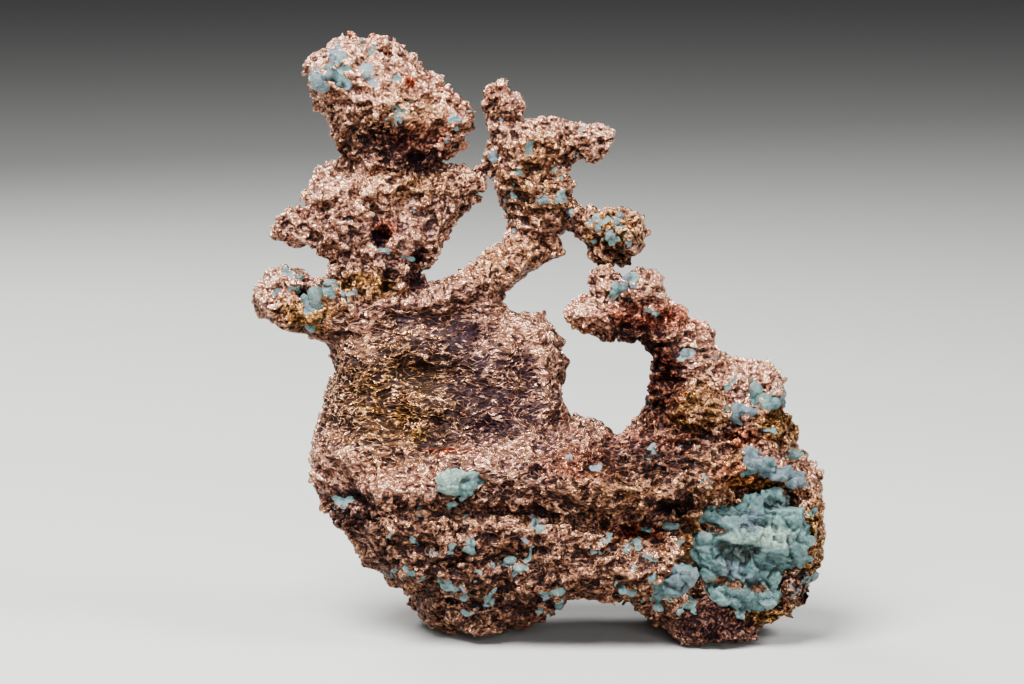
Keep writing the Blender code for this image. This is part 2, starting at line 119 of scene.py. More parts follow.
copper = {
    "nodes": ("base_mass", "plate", "left_branch", "middle_branch", "right_branch"),
    # these seats are filled with copper, as their crusts are thin
    "seats": ("head_green_patch", "berry_green_crust", "arm_green_crust", "knob_crystal",
              "knob_green_crust", "upper_green_seam", "side_green_seam"),
    "seal": 0.22,       # mm each side, closes the clearances between the forks
    "coarseVoxel": 0.28,
    "fineVoxel": 0.16,
    "slim": 0.45,       # mm taken back off, as the ridges stand proud of the cast
    "triangles": 820000,
    "wrinkle": 0.34,    # mm, height of the crumpled plate's ridges
    "wrinkleWide": 0.56,
    "hackle": 0.34,     # mm, height of the ridges elsewhere
    "hackleWide": 0.8,
    "crumb": 0.20,      # mm, height of the finest ones
    "crumbWide": (0.4, 0.42),   # mm across, on the plate and elsewhere
    "spike": 0.55,      # mm, height of the crystals that stand out singly
    "spikeWide": 0.9,
    "footTop": 3.0,     # mm above the floor, from where the feet are pressed up
    "footLow": -0.45,   # mm, the depth that comes up to the floor
    # broad relief, as mm across, mm high, its middle level and whether its crests are sharp
    "humps": ((5.0, 1.3, 0.5, False), (2.6, -1.0, 0.36, True), (1.3, -0.65, 0.36, True)),
}


# raises a noise relief; a hard one with a height below nought has sharp crests
def relief(piece, grain, height, level=0.5, hard=False, group=""):
    texture = bpy.data.textures.new(f"clouds {grain}", "CLOUDS")
    texture.noise_scale = grain * mm
    texture.noise_depth = 1
    texture.noise_type = "HARD_NOISE" if hard else "SOFT_NOISE"
    useModifier(piece, "DISPLACE", texture=texture, texture_coords="GLOBAL", strength=height * mm,
                mid_level=level, vertex_group=group)


def points(piece):
    co = np.empty(len(piece.data.vertices) * 3, np.float32)
    piece.data.vertices.foreach_get("co", co)
    return co.reshape(-1, 3)


def normals(piece):
    no = np.empty(len(piece.data.vertices) * 3, np.float32)
    piece.data.vertices.foreach_get("normal", no)
    return no.reshape(-1, 3)


def putPoints(piece, co):
    piece.data.vertices.foreach_set("co", co.astype(np.float32).ravel())
    piece.data.update()


def putLayer(piece, name, values):
    layer = piece.data.attributes.new(name, "FLOAT", "POINT")
    layer.data.foreach_set("value", values.astype(np.float32))


def ramp(values, low, high):
    return np.clip((values - low) / (high - low), 0, 1)


# one noise value a point, its blotches about size mm across
def noiseAt(co, size):
    return np.array([noise.noise(p) for p in map(Vector, (co / size).tolist())])


def swirl(co, size):   # one noise vector a point
    return np.array([noise.noise_vector(p) for p in map(Vector, (co / size).tolist())])


def crests(co, size):   # the upper part of that noise, as nought to one
    return ramp(noiseAt(co, size), -0.1, 0.4)


def copyOf(nodes, name):   # one joined and merged copy of CAD nodes
    deselectAll()
    copies = []
    for node in nodes:
        twin = bpy.data.objects.new(name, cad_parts[node].data.copy())
        scene.collection.objects.link(twin)
        twin.select_set(True)
        copies.append(twin)
    bpy.context.view_layer.objects.active = copies[0]
    if len(copies) > 1:
        bpy.ops.object.join()
    bpy.ops.object.mode_set(mode="EDIT")
    bpy.ops.mesh.select_all(action="SELECT")
    bpy.ops.mesh.remove_doubles(threshold=1e-6)
    bpy.ops.object.mode_set(mode="OBJECT")
    copies[0].data.materials.clear()
    return copies[0]


def edgesOf(piece):
    ends = np.empty(len(piece.data.edges) * 2, np.int32)
    piece.data.edges.foreach_get("vertices", ends)
    return ends.reshape(-1, 2)


def smoothed(values, edges, rounds):
    count = np.maximum(np.bincount(edges.ravel(), minlength=len(values)), 1)[:, None]
    values = values.astype(np.float64)
    for _ in range(rounds):
        total = np.stack([np.bincount(edges[:, 0], values[edges[:, 1], k], len(values))
                          + np.bincount(edges[:, 1], values[edges[:, 0], k], len(values))
                          for k in range(values.shape[1])], 1)
        values = 0.5 * values + 0.5 * total / count
    return values


# where each point lies on the front, as the tables give places, and how far back
def onFront(co):
    x = co[:, 0] + frameShift[0]
    y = co[:, 1] + frameShift[1]
    return x, (co[:, 2] + sightSlope * y) * sightSquash, y


# strength of the listed spots (x, z, half width, half height, strength) on the front
def blots(co, spots):
    x, z, y = onFront(co)
    found = np.zeros(len(co))
    for cx, cz, w, h, strength in spots:
        near = 1 - np.sqrt(((x - cx) / w) ** 2 + ((z - cz) / h) ** 2)
        found = np.maximum(found, strength * ramp(near, -0.35, 0.45))
    return found * ramp(-y, -2.5, -0.5)


def surfaceTree(piece):
    piece.data.calc_loop_triangles()
    return BVHTree.FromPolygons((points(piece) / mm).tolist(),
                                [tuple(face.vertices) for face in piece.data.polygons])


# where a line of sight through (x, z) first meets these surfaces, in mm
def frontPoint(x, z, trees):
    start = Vector((x - frameShift[0], -60, z / sightSquash + sightSlope * (60 - frameShift[1])))
    heading = Vector((0, 1, -sightSlope)).normalized()
    hits = [tree.ray_cast(start, heading)[0] for tree in trees]
    return min((hit for hit in hits if hit), key=lambda hit: hit.y, default=None)


def joinAll(parts, name):
    deselectAll()
    for part in parts:
        part.select_set(True)
    bpy.context.view_layer.objects.active = parts[0]
    bpy.ops.object.join()
    bpy.ops.object.transform_apply(location=True, rotation=True, scale=True)
    parts[0].name = name
    parts[0].data.materials.clear()
    return parts[0]


def lump(place, size, turn=0.0):   # a rounded lump with these half sizes, in mm
    deselectAll()
    bpy.ops.mesh.primitive_ico_sphere_add(subdivisions=3, radius=mm, location=place * mm, scale=size,
                                          rotation=(0, turn, 0))
    return bpy.context.object


whole = copyOf(copper["nodes"] + copper["seats"], "copper")
useModifier(whole, "DISPLACE", strength=copper["seal"] * mm, mid_level=0)
useModifier(whole, "REMESH", mode="VOXEL", voxel_size=copper["coarseVoxel"] * mm)
useModifier(whole, "SMOOTH", factor=0.5, iterations=8)
# rubble lying in the recess under the shelf, as x, y, z and half sizes in mm
rubble = [(-6.2, -8.5, 13.9, 1.2, 1.3, 0.9), (-4.6, -8.8, 14.2, 1.5, 1.4, 1.0),
          (-2.6, -8.8, 14.0, 1.5, 1.4, 1.0), (-0.8, -8.9, 13.8, 1.4, 1.3, 0.9),
          (1.0, -9.1, 13.4, 1.4, 1.4, 0.9), (2.7, -9.3, 12.9, 1.2, 1.2, 0.8),
          (7.8, -8.2, 11.6, 1.3, 1.2, 0.9), (9.6, -7.6, 11.4, 1.2, 1.0, 0.7),
          (11.6, -7.3, 11.6, 1.4, 1.2, 0.9), (13.6, -7.9, 12.2, 1.3, 1.3, 1.0),
          (15.2, -8.4, 12.6, 1.0, 1.0, 0.8)]
pile = [whole]
for x, y, z, w, d, h in rubble:
    height = z / sightSquash - sightSlope * (y + frameShift[1])
    pile.append(lump(Vector((x - frameShift[0], y, height)), (w, d, h)))
joinAll(pile, "copper")
useModifier(whole, "REMESH", mode="VOXEL", voxel_size=copper["coarseVoxel"] * mm)

# where the limbs are fuller or leaner than the CAD's, as x, z, half width, half height and mm outwards
build = [(-20.9, 45.6, 2.5, 3.6, 1.1), (6.3, 36.4, 2.0, 1.5, 0.9), (11.6, 36.0, 2.0, 1.5, 0.7),
         (4.6, 21.9, 2.4, 1.9, 1.2), (21.2, 27.2, 4.0, 1.6, 0.8), (-21.6, 18.5, 1.6, 5.0, 0.7),
         (15.8, 31.4, 2.4, 2.8, -0.9), (-22.4, 58.8, 2.2, 2.0, -0.6), (-20.6, 50.6, 1.6, 2.4, -0.6),
         (-6.6, 53.6, 1.0, 1.4, -0.3), (-9.4, 38.4, 1.4, 1.6, -0.7), (-4.3, 42.0, 1.2, 2.4, 0.6),
         (3.6, 46.8, 1.0, 2.2, -0.7), (1.3, 38.6, 2.4, 1.6, -0.8), (2.4, 25.2, 1.2, 1.6, -0.4),
         (11.2, 25.0, 1.2, 1.8, 0.4), (26.0, 21.6, 1.4, 2.6, -0.7), (28.8, 12.0, 1.2, 3.0, -0.5),
         (-18.8, 8.8, 1.6, 1.6, -0.7), (-24.6, 40.2, 2.0, 1.0, -0.4), (-15.8, 39.9, 0.6, 0.6, -1.5),
         (-23.3, 34.6, 0.7, 0.5, -1.4), (-14.6, 36.2, 0.8, 0.5, -0.8), (-11.8, 36.0, 0.7, 1.2, -0.9),
         (-4.2, 47.2, 0.7, 1.0, -0.6), (1.6, 45.9, 1.4, 0.4, -0.7)]
co = points(whole) / mm
x, z, y = onFront(co)
outwards = np.zeros(len(co))
for cx, cz, w, h, amount in build:
    outwards += amount * np.exp(-((x - cx) / w) ** 2 - ((z - cz) / h) ** 2)
putPoints(whole, (co + normals(whole) * outwards[:, None]) * mm)
useModifier(whole, "DISPLACE", strength=-copper["slim"] * mm, mid_level=0)

# the hammered-looking plate and the right foot stay flatter than the rest
calmSpots = [(-11.0, 25.5, 15.0, 8.5, 1.0), (17.4, 1.6, 4.0, 2.6, 0.9)]
co = points(whole) / mm
calm = blots(co, calmSpots)
uneven = whole.vertex_groups.new(name="uneven")   # in eleven steps, as one call takes one weight
for step in range(11):
    picked = np.nonzero(np.round(calm * 10) == step)[0].tolist()
    if picked:
        uneven.add(picked, 1 - 0.09 * step, "REPLACE")
for grain, height, level, hard in copper["humps"]:
    relief(whole, grain, height, level, hard, "uneven")
whole.vertex_groups.clear()
castTree = surfaceTree(whole)
useModifier(whole, "REMESH", mode="VOXEL", voxel_size=copper["fineVoxel"] * mm)
co, no = points(whole) / mm, normals(whole)
print("fine mesh", len(co))
drift = swirl(co, 4.0) * 1.1 + swirl(co, 1.2) * 0.4   # turns the wrinkles about as they run
plateFront = [(-11.0, 24.5, 17.0, 9.5, 1.0), (-4.0, 17.5, 16.0, 4.5, 0.8)]
front = blots(co, plateFront)
flow = (co + drift) * (0.32, 1, 1)
plain = (co + drift * 0.6) * (0.55, 1, 1)
wrinkles = crests(flow, copper["wrinkleWide"]) * copper["wrinkle"]
wrinkles += crests(flow + 40, copper["crumbWide"][0]) * copper["crumb"]
hackles = crests(plain, copper["hackleWide"]) * copper["hackle"]
hackles += crests(plain + 40, copper["crumbWide"][1]) * copper["crumb"]
rough = 0.55 + 0.75 * ramp(noiseAt(co + 90, 3.0), -0.35, 0.4)   # some places are rubbed smoother
smoothSpots = [(17.4, 1.6, 4.0, 2.6, 1.0), (-3.3, 2.7, 2.2, 1.0, 0.9), (1.2, 12.9, 2.5, 0.9, 0.7)]
rough *= 1 - 0.75 * blots(co, smoothSpots)
spikes = ramp(noiseAt(co + 60, copper["spikeWide"]), 0.36, 0.62) * copper["spike"]
height = (wrinkles * front * 0.7 + (hackles + spikes) * (1 - front)) * rough
height -= height.mean()
co = co + no * height[:, None]
# the relief reaches below the floor, so the feet are pressed up, and their lowest grains are worn flat
footTop, footLow = copper["footTop"], copper["footLow"]
pressed = np.maximum((co[:, 2] - footLow) * footTop / (footTop - footLow), 0)
co[:, 2] = np.where(co[:, 2] < footTop, pressed, co[:, 2])
putPoints(whole, co * mm)
useModifier(whole, "TRIANGULATE")
useModifier(whole, "DECIMATE", ratio=copper["triangles"] / len(whole.data.polygons),
            use_collapse_triangulate=True)
print("copper cast", len(whole.data.polygons), "faces")

# how far each point stands above or sinks below its surroundings, and how far up its broad face turns; the
# colour uses these for painted shade in hollows and creases, painted light on faces turned up and painted
# shade on faces turned down
co, edges = points(whole) / mm, edgesOf(whole)
broadNormal = smoothed(normals(whole), edges, 12)
broadNormal /= np.linalg.norm(broadNormal, axis=1, keepdims=True) + 1e-9
near, wide = smoothed(co, edges, 6), smoothed(co, edges, 80)
proud = ((co - near) * broadNormal).sum(1)
deep = ((near - wide) * broadNormal).sum(1)
putLayer(whole, "proud", proud)
putLayer(whole, "deep", deep)
putLayer(whole, "up", broadNormal[:, 2])
strokes = plateFront + [(-3.0, 8.0, 24.0, 8.5, 0.45), (13.0, 17.0, 12.0, 4.5, 0.5),
                        (-16.0, 42.0, 7.0, 9.0, 0.4), (-13.0, 54.0, 9.0, 5.0, 0.35),
                        (13.0, 30.0, 6.0, 6.0, 0.6), (1.0, 42.0, 7.0, 9.0, 0.4)]
putLayer(whole, "drawnOut", np.maximum(blots(co, strokes), 0.35 * ramp(co[:, 1], -1, 3)))

# patina, with painted shade among the dark spots and painted highlights as the bright spots, as (x, z,
# half width, half height, strength) in mm on the front
patinaAndPaintedLight = {
    "gold": [(-14.5, 24.0, 7.0, 6.5, 0.7), (-13.3, 22.7, 1.6, 1.4, 1.0), (-11.8, 20.3, 1.3, 1.0, 1.0),
             (15.4, 22.8, 3.6, 3.0, 0.8), (24.0, 21.4, 2.6, 2.0, 1.0), (2.0, 8.0, 24.0, 6.5, 0.3),
             (8.5, 16.0, 6.0, 3.0, 0.5), (-23.0, 32.5, 3.0, 2.0, 0.7), (-12.0, 45.5, 5.0, 2.0, 0.5),
             (18.0, 17.0, 5.0, 4.0, 0.5), (5.0, 44.0, 3.0, 3.0, 0.4), (-17.0, 50.0, 4.0, 2.0, 0.35),
             (27.4, 9.0, 1.6, 5.5, 0.9), (23.5, 2.6, 4.5, 1.6, 0.9), (15.4, 10.0, 1.8, 3.5, 0.7),
             (22.0, 15.8, 4.5, 1.3, 0.9), (25.0, 21.5, 3.0, 2.6, 1.0), (-22.0, 33.0, 3.0, 1.6, 0.8),
             (-16.8, 35.2, 3.4, 1.5, 0.9), (-23.0, 31.4, 2.4, 1.4, 0.9), (1.2, 46.0, 5.0, 4.5, 0.5),
             (7.0, 40.6, 3.4, 3.0, 0.8), (-2.0, 37.6, 5.0, 2.6, 0.4), (-13.0, 52.4, 4.0, 2.0, 0.4),
             (11.6, 25.0, 2.4, 5.0, 0.5)],
    "red": [(11.8, 26.0, 2.6, 4.0, 0.6), (11.0, 32.0, 4.5, 1.6, 0.7), (4.2, 17.4, 4.2, 1.8, 0.4),
            (-12.6, 55.2, 0.7, 0.6, 1.0), (-9.6, 18.8, 3.2, 0.25, 0.7), (19.5, 16.4, 3.2, 1.4, 0.5),
            (-12.0, 49.6, 3.8, 1.5, 0.4), (12.0, 19.8, 5.0, 1.2, 0.4), (9.6, 10.8, 2.6, 0.9, 0.9),
            (-15.3, 40.7, 1.2, 1.2, 0.7), (4.5, 26.5, 1.4, 4.0, 0.7), (20.0, 20.0, 1.8, 1.0, 0.7)],
    # dark: purplish tarnish, and painted shade under the head, inside the arms, in pits and low down
    "dark": [(-15.8, 39.9, 0.8, 0.8, 1.4), (-23.3, 34.6, 0.9, 0.6, 1.4), (-12.0, 38.2, 0.9, 0.9, 0.9),
             (-14.6, 36.2, 1.2, 0.7, 0.9), (-12.2, 35.4, 1.0, 1.2, 0.8), (-9.3, 27.6, 5.2, 2.2, 0.4),
             (-5.3, 22.4, 5.2, 2.6, 0.45), (-9.8, 20.2, 1.6, 1.1, 0.4), (-6.6, 30.4, 2.2, 1.1, 0.6),
             (-2.4, 26.8, 2.4, 1.5, 0.45), (-17.6, 26.8, 1.6, 1.2, 0.4), (0.3, 13.9, 6.0, 1.3, 0.2),
             (-18.5, 13.0, 3.0, 2.6, 0.7), (-15.5, 49.2, 4.0, 1.9, 0.6), (-12.0, 47.4, 3.5, 1.3, 0.8),
             (11.8, 26.0, 2.6, 5.0, 0.9), (10.0, 30.6, 3.5, 1.5, 0.6), (-10.0, 14.0, 4.0, 1.0, 0.4),
             (10.0, 10.8, 4.5, 1.3, 0.5), (17.4, 1.8, 4.2, 2.8, 0.8), (10.7, 17.6, 5.5, 2.2, 0.7),
             (-6.0, 6.5, 15.0, 5.5, 0.35), (14.8, 20.0, 4.5, 1.6, 0.5), (24.5, 21.0, 2.6, 1.6, 0.5),
             (26.5, 5.0, 3.0, 4.5, 0.5), (15.0, 22.8, 3.0, 2.2, 0.3), (13.5, 13.4, 2.8, 1.0, 0.9),
             (6.0, 14.4, 5.0, 1.2, 0.3), (5.0, 45.0, 3.0, 1.5, 0.4), (7.5, 39.2, 2.4, 1.0, 0.6)],
    # bright: painted highlights where light falls on the head, the shelf, the plate and the limbs; on the
    # back, lighter patches at random
    "bright": [(-14.0, 55.5, 8.5, 4.5, 0.9), (-9.0, 53.6, 3.5, 1.6, 0.9), (-14.0, 16.2, 6.5, 1.9, 0.8),
               (-17.0, 44.5, 5.0, 3.0, 0.6), (-1.5, 29.0, 3.6, 4.0, 0.8), (-4.0, 18.6, 4.5, 1.2, 0.7),
               (7.0, 14.4, 5.0, 1.4, 0.4), (5.2, 32.4, 3.0, 1.7, 0.8), (13.8, 30.6, 3.0, 1.6, 0.6),
               (22.0, 26.6, 3.8, 1.3, 0.8), (-6.0, 36.4, 4.0, 1.0, 0.4), (-26.2, 35.0, 2.0, 1.8, 0.7),
               (-0.8, 49.5, 3.0, 2.2, 0.5), (-17.5, 29.5, 2.2, 3.0, 0.6), (18.5, 14.4, 3.0, 1.2, 0.7),
               (-2.5, 38.5, 3.0, 1.2, 0.7), (14.2, 9.0, 2.0, 1.2, 0.7), (12.6, 35.3, 1.6, 1.6, 0.6)],
    "film": [(-0.5, 11.5, 0.6, 1.0, 1.0), (0.4, 11.0, 0.8, 0.5, 0.9), (-6.8, 9.5, 0.9, 1.3, 1.0),
             (-2.9, 7.9, 1.2, 0.6, 1.0), (-1.9, 7.1, 0.9, 0.8, 1.0), (-12.5, 9.8, 0.7, 0.6, 1.0),
             (-10.5, 8.5, 0.8, 0.4, 0.9), (-19.4, 13.5, 1.4, 0.9, 0.9), (-13.1, 6.7, 0.8, 1.0, 0.9),
             (-8.8, 5.2, 1.1, 0.9, 1.0), (-7.3, 4.5, 0.9, 0.8, 1.0), (-5.1, 4.0, 0.7, 1.2, 1.0),
             (-5.7, 6.6, 0.6, 0.7, 0.8), (-6.9, 2.6, 0.9, 0.5, 0.9), (0.6, 4.6, 0.7, 0.8, 1.0),
             (1.7, 4.8, 0.9, 0.6, 1.0), (2.1, 3.5, 0.5, 1.0, 1.0), (0.3, 2.6, 0.9, 0.4, 1.0),
             (-1.1, 8.5, 0.5, 0.8, 0.8), (5.6, 8.8, 0.7, 0.6, 0.9), (6.8, 10.3, 0.8, 0.5, 0.9),
             (9.5, 9.5, 1.0, 0.5, 1.0), (11.3, 8.3, 1.0, 0.5, 0.9), (9.3, 7.4, 0.7, 0.4, 0.8),
             (14.0, 9.6, 1.0, 0.5, 0.9), (-11.4, 6.2, 0.6, 0.6, 0.7), (-8.4, 9.6, 0.6, 0.6, 0.7),
             (-13.2, 3.3, 0.5, 1.1, 0.9), (-8.6, 13.5, 0.9, 0.5, 1.0), (-7.5, 14.4, 0.7, 0.9, 1.0),
             (-11.6, 13.1, 0.5, 0.5, 0.9), (3.0, 18.0, 0.7, 0.6, 0.8), (5.9, 17.2, 0.8, 0.6, 0.8),
             (11.3, 19.1, 0.9, 0.5, 0.9), (10.8, 17.7, 0.5, 0.5, 0.8), (16.5, 16.0, 0.7, 0.5, 0.8),
             (14.3, 19.6, 0.5, 0.5, 0.8), (23.0, 21.0, 0.8, 0.5, 0.9), (27.0, 5.7, 0.8, 1.2, 0.9),
             (25.4, 4.9, 0.9, 0.7, 0.9), (14.6, 28.2, 0.9, 1.0, 1.0), (18.1, 28.1, 0.6, 0.4, 0.8),
             (20.1, 27.8, 0.8, 0.5, 0.9), (19.1, 25.4, 0.7, 0.6, 0.9), (20.9, 18.8, 0.9, 0.7, 0.9),
             (25.4, 18.5, 1.0, 0.8, 0.9), (12.4, 4.6, 1.8, 1.1, 0.9), (15.0, 3.6, 0.9, 0.8, 0.9),
             (16.6, 4.7, 0.6, 0.6, 0.9), (-20.1, 58.1, 1.6, 1.0, 1.0), (-21.9, 56.0, 1.2, 1.2, 1.0),
             (-19.6, 56.0, 1.3, 1.2, 1.0), (-17.0, 56.2, 1.0, 0.7, 1.0), (-17.4, 59.4, 0.6, 0.7, 1.0),
             (-16.3, 58.7, 0.6, 0.8, 0.9), (-16.5, 55.1, 0.9, 0.7, 0.8), (-13.6, 55.5, 0.9, 0.6, 0.9),
             (-13.9, 51.8, 1.1, 1.0, 0.7), (-6.8, 52.4, 0.8, 0.8, 1.0), (-8.1, 51.4, 1.0, 0.8, 1.0),
             (-8.8, 49.5, 0.5, 0.5, 0.9), (-4.5, 48.2, 0.9, 1.1, 1.0), (-12.4, 43.2, 0.6, 0.7, 0.9),
             (-1.0, 48.5, 0.9, 1.2, 0.8), (2.0, 46.0, 1.0, 0.8, 0.8), (-2.2, 46.6, 0.9, 0.7, 0.9),
             (2.4, 44.0, 1.1, 0.8, 1.0), (3.8, 45.0, 0.8, 0.9, 1.0), (0.2, 45.0, 0.7, 0.6, 0.9),
             (-2.6, 44.2, 0.7, 0.9, 0.9), (5.6, 41.6, 0.8, 0.7, 1.0), (8.9, 39.4, 0.7, 0.8, 1.0),
             (8.0, 40.6, 0.6, 0.6, 0.9), (-9.8, 36.6, 0.6, 0.6, 0.9), (-15.4, 38.6, 0.6, 0.5, 0.9),
             (-12.9, 37.9, 0.7, 0.6, 0.9), (-18.4, 34.2, 0.5, 0.9, 1.0), (0.5, 43.6, 1.0, 0.7, 0.9),
             (3.4, 42.6, 0.8, 1.0, 0.9), (6.4, 41.4, 1.3, 0.8, 0.9), (8.2, 42.2, 0.8, 0.9, 0.9),
             (7.4, 39.6, 1.0, 0.7, 0.9), (9.2, 36.0, 0.8, 1.2, 1.0), (7.6, 34.6, 0.9, 0.8, 1.0),
             (11.4, 32.6, 1.2, 0.6, 0.9), (-24.9, 36.4, 1.3, 0.8, 1.0), (-22.6, 33.2, 1.3, 1.4, 1.0),
             (-20.8, 34.6, 1.2, 1.3, 0.9), (-26.0, 34.6, 0.6, 0.9, 0.7), (-14.6, 10.3, 0.6, 0.7, 0.9),
             (-8.9, 8.9, 0.7, 0.6, 0.9), (-14.4, 6.6, 0.7, 0.7, 0.9), (-9.8, 6.0, 0.6, 0.6, 0.9),
             (-4.5, 4.9, 0.6, 0.6, 0.9), (-3.1, 4.2, 0.6, 0.6, 0.9), (-4.5, 7.6, 0.6, 0.5, 0.9),
             (8.5, 9.2, 0.5, 0.8, 0.9), (9.3, 3.5, 0.9, 0.5, 0.9), (-1.1, 10.0, 0.7, 0.6, 0.9),
             (-6.9, 12.5, 0.6, 0.5, 0.9), (7.4, 5.8, 0.5, 0.5, 0.8)],
}
blur = noiseAt(co, 1.4) * 0.5 + noiseAt(co, 0.5) * 0.35
jog = swirl(co, 1.0) * 0.8
back = ramp(co[:, 1], -1, 3)
backShare = {"gold": 0.9, "red": 0.4, "dark": 0.9, "bright": 0.9}   # how strong each is on the back
filmShare = 0.75   # the films are drawn this much narrower than their spots
for name, spots in patinaAndPaintedLight.items():
    if name == "film":
        behind = back * ramp(noiseAt(co + 170, 1.7), 0.34, 0.5) * ramp(noiseAt(co + 230, 7.0), -0.2, 0.1)
        shrunk = [(x, z, filmShare * w, filmShare * h, strength) for x, z, w, h, strength in spots]
        putLayer(whole, name, np.maximum(blots(co + jog, shrunk), behind))
        continue
    blotches = ramp(noiseAt(co + (0, 0, len(name) * 31), 5.0), 0.05, 0.5)
    amount = blots(co, spots) + back * blotches * backShare[name]
    putLayer(whole, name, np.clip(amount * (1 + blur) + blur * 0.12, 0, 1))
print("patina laid")

# native copper, grown as hackly crystals: thin bright pinkish ridges where it is rubbed, and brown and
# # purplish oxide between, darkened further there as painted shade in the hollows and creases
copperLook = {
    "bright": "#FFCFAF",
    "body": "#A26F57",
    # deep: oxide and painted shade, for the hollows and creases
    "deep": "#30252A",
    "gold": "#D8D08E",
    "red": "#EB9A7C",
    # dark: purplish tarnish, also used as painted shade
    "dark": "#85798A",
    # under: painted shade for faces turned downwards
    "under": "#8E7768",
    "filmEnds": ((0.0, "#2C5249"), (1.0, "#62707A")),
    "filmMiddle": ((0.40, "#4A6968"), (0.50, "#6F8C8A"), (0.60, "#6B7C84")),
    "ridge": 0.45,      # mm from one thin ridge of the crumpled skin to the next
    "stretch": 4.5,     # times as long as they are wide
    "crumb": 0.30,      # mm across the crumbs elsewhere
    "facet": 0.34,      # mm across one crystal face
}
material = bpy.data.materials.new("hackly native copper")
material.use_nodes = True
tree = material.node_tree
shader = tree.nodes["Principled BSDF"]
read = {name: addNode(tree, "ShaderNodeAttribute", {"attribute_name": name}).outputs["Fac"]
        for name in ("proud", "deep", "up", "gold", "red", "dark", "bright", "film", "drawnOut")}

# fine relief: long ridges on the crumpled plate, crumbs elsewhere, both set swaying by a slow noise
place = addNode(tree, "ShaderNodeTexCoord")
inMm = addNode(tree, "ShaderNodeVectorMath", {"operation": "SCALE", "Scale": 1000.0},
               {0: place.outputs["Object"]})
sway = addNode(tree, "ShaderNodeTexNoise", {"Scale": 0.3, "Detail": 2.0}, {"Vector": inMm.outputs[0]})
swayed = addNode(tree, "ShaderNodeVectorMath", {"operation": "MULTIPLY_ADD", 1: (1.6, 1.6, 1.6)},
                 {0: sway.outputs["Color"], 2: inMm.outputs[0]})
black, white = hexColour("#000000"), hexColour("#FFFFFF")
crossing = []
for turn in (0.30, -0.34):
    laid = addNode(tree, "ShaderNodeMapping",
                   {"vector_type": "TEXTURE", "Rotation": (0.0, turn, 0.0),
                    "Scale": (copperLook["stretch"], 1.0, 1.0)},
                   {"Vector": swayed.outputs[0]})
    waves = addNode(tree, "ShaderNodeTexNoise", {"Scale": 1 / copperLook["ridge"], "Detail": 0.5},
                    {"Vector": laid.outputs[0]})
    ridge = addNode(tree, "ShaderNodeValToRGB", None, {"Fac": waves.outputs["Fac"]})
    setRamp(ridge, ((0.445, black), (0.555, black)), ((0.5, white),))
    crossing.append(ridge.outputs["Color"])
longRidges = addNode(tree, "ShaderNodeMath", {"operation": "MAXIMUM"}, {0: crossing[0], 1: crossing[1]})
grains = addNode(tree, "ShaderNodeTexNoise",
                 {"Scale": 1 / copperLook["crumb"], "Detail": 2.0, "Roughness": 0.6},
                 {"Vector": swayed.outputs[0]})
crumbs = addNode(tree, "ShaderNodeMapRange", {"From Min": 0.38, "From Max": 0.66},
                 {"Value": grains.outputs["Fac"]})
fine = addNode(tree, "ShaderNodeMix", None,
               {0: read["drawnOut"], 2: crumbs.outputs[0], 3: longRidges.outputs[0]})
fineRange = addNode(tree, "ShaderNodeMapRange", {"To Min": -0.42, "To Max": 0.42},
                    {"Value": fine.outputs[0]})

# how rubbed each spot is, darkened in the hollows and creases as painted shade: the higher, the brighter
proudRange = addNode(tree, "ShaderNodeMapRange",
                     {"From Min": -0.10, "From Max": 0.13, "To Min": 0.15, "To Max": 0.75},
                     {"Value": read["proud"]})
deepRange = addNode(tree, "ShaderNodeMapRange", {"From Min": -0.75, "From Max": 0.15},
                    {"Value": read["deep"]})
both = addNode(tree, "ShaderNodeMath", {"operation": "MULTIPLY"},
               {0: proudRange.outputs[0], 1: deepRange.outputs[0]})
# painted light: faces turned upwards are made lighter
topped = addNode(tree, "ShaderNodeMapRange", {"From Min": -0.1, "From Max": 0.8, "To Max": 0.12},
                 {"Value": read["up"]})
# painted highlights on the bright spots
lifted = addNode(tree, "ShaderNodeMath", {"operation": "MULTIPLY_ADD", 1: 0.2},
                 {0: read["bright"], 2: both.outputs[0]})
# painted shade, with tarnish, on the dark spots
lowered = addNode(tree, "ShaderNodeMath", {"operation": "MULTIPLY_ADD", 1: -0.30},
                  {0: read["dark"], 2: lifted.outputs[0]})
broadWearAndLight = addNode(tree, "ShaderNodeMath", {"operation": "ADD"}, {0: lowered.outputs[0], 1: topped.outputs[0]})
wearAndPaintedLight = addNode(tree, "ShaderNodeMath", {"operation": "ADD"}, {0: broadWearAndLight.outputs[0], 1: fineRange.outputs[0]})
rubbedAndShaded = addNode(tree, "ShaderNodeValToRGB", None, {"Fac": wearAndPaintedLight.outputs[0]})
setRamp(rubbedAndShaded, ((0.05, hexColour(copperLook["deep"])), (0.85, hexColour(copperLook["bright"]))),
        ((0.42, hexColour(copperLook["body"])),))
# painted shade: faces turned downwards are darkened by the under tint
underneath = addNode(tree, "ShaderNodeMapRange", {"From Min": 0.25, "From Max": -0.6, "To Max": 0.75},
                     {"Value": read["up"]})
surface = rubbedAndShaded.outputs["Color"]
for tint, amount in (("gold", read["gold"]), ("red", read["red"]), ("dark", read["dark"]),
                     ("under", underneath.outputs[0])):
    tinted = addNode(tree, "ShaderNodeMix",
                     {"data_type": "RGBA", "blend_type": "MULTIPLY", 7: hexColour(copperLook[tint])},
                     {0: amount, 6: surface})
    surface = tinted.outputs[2]

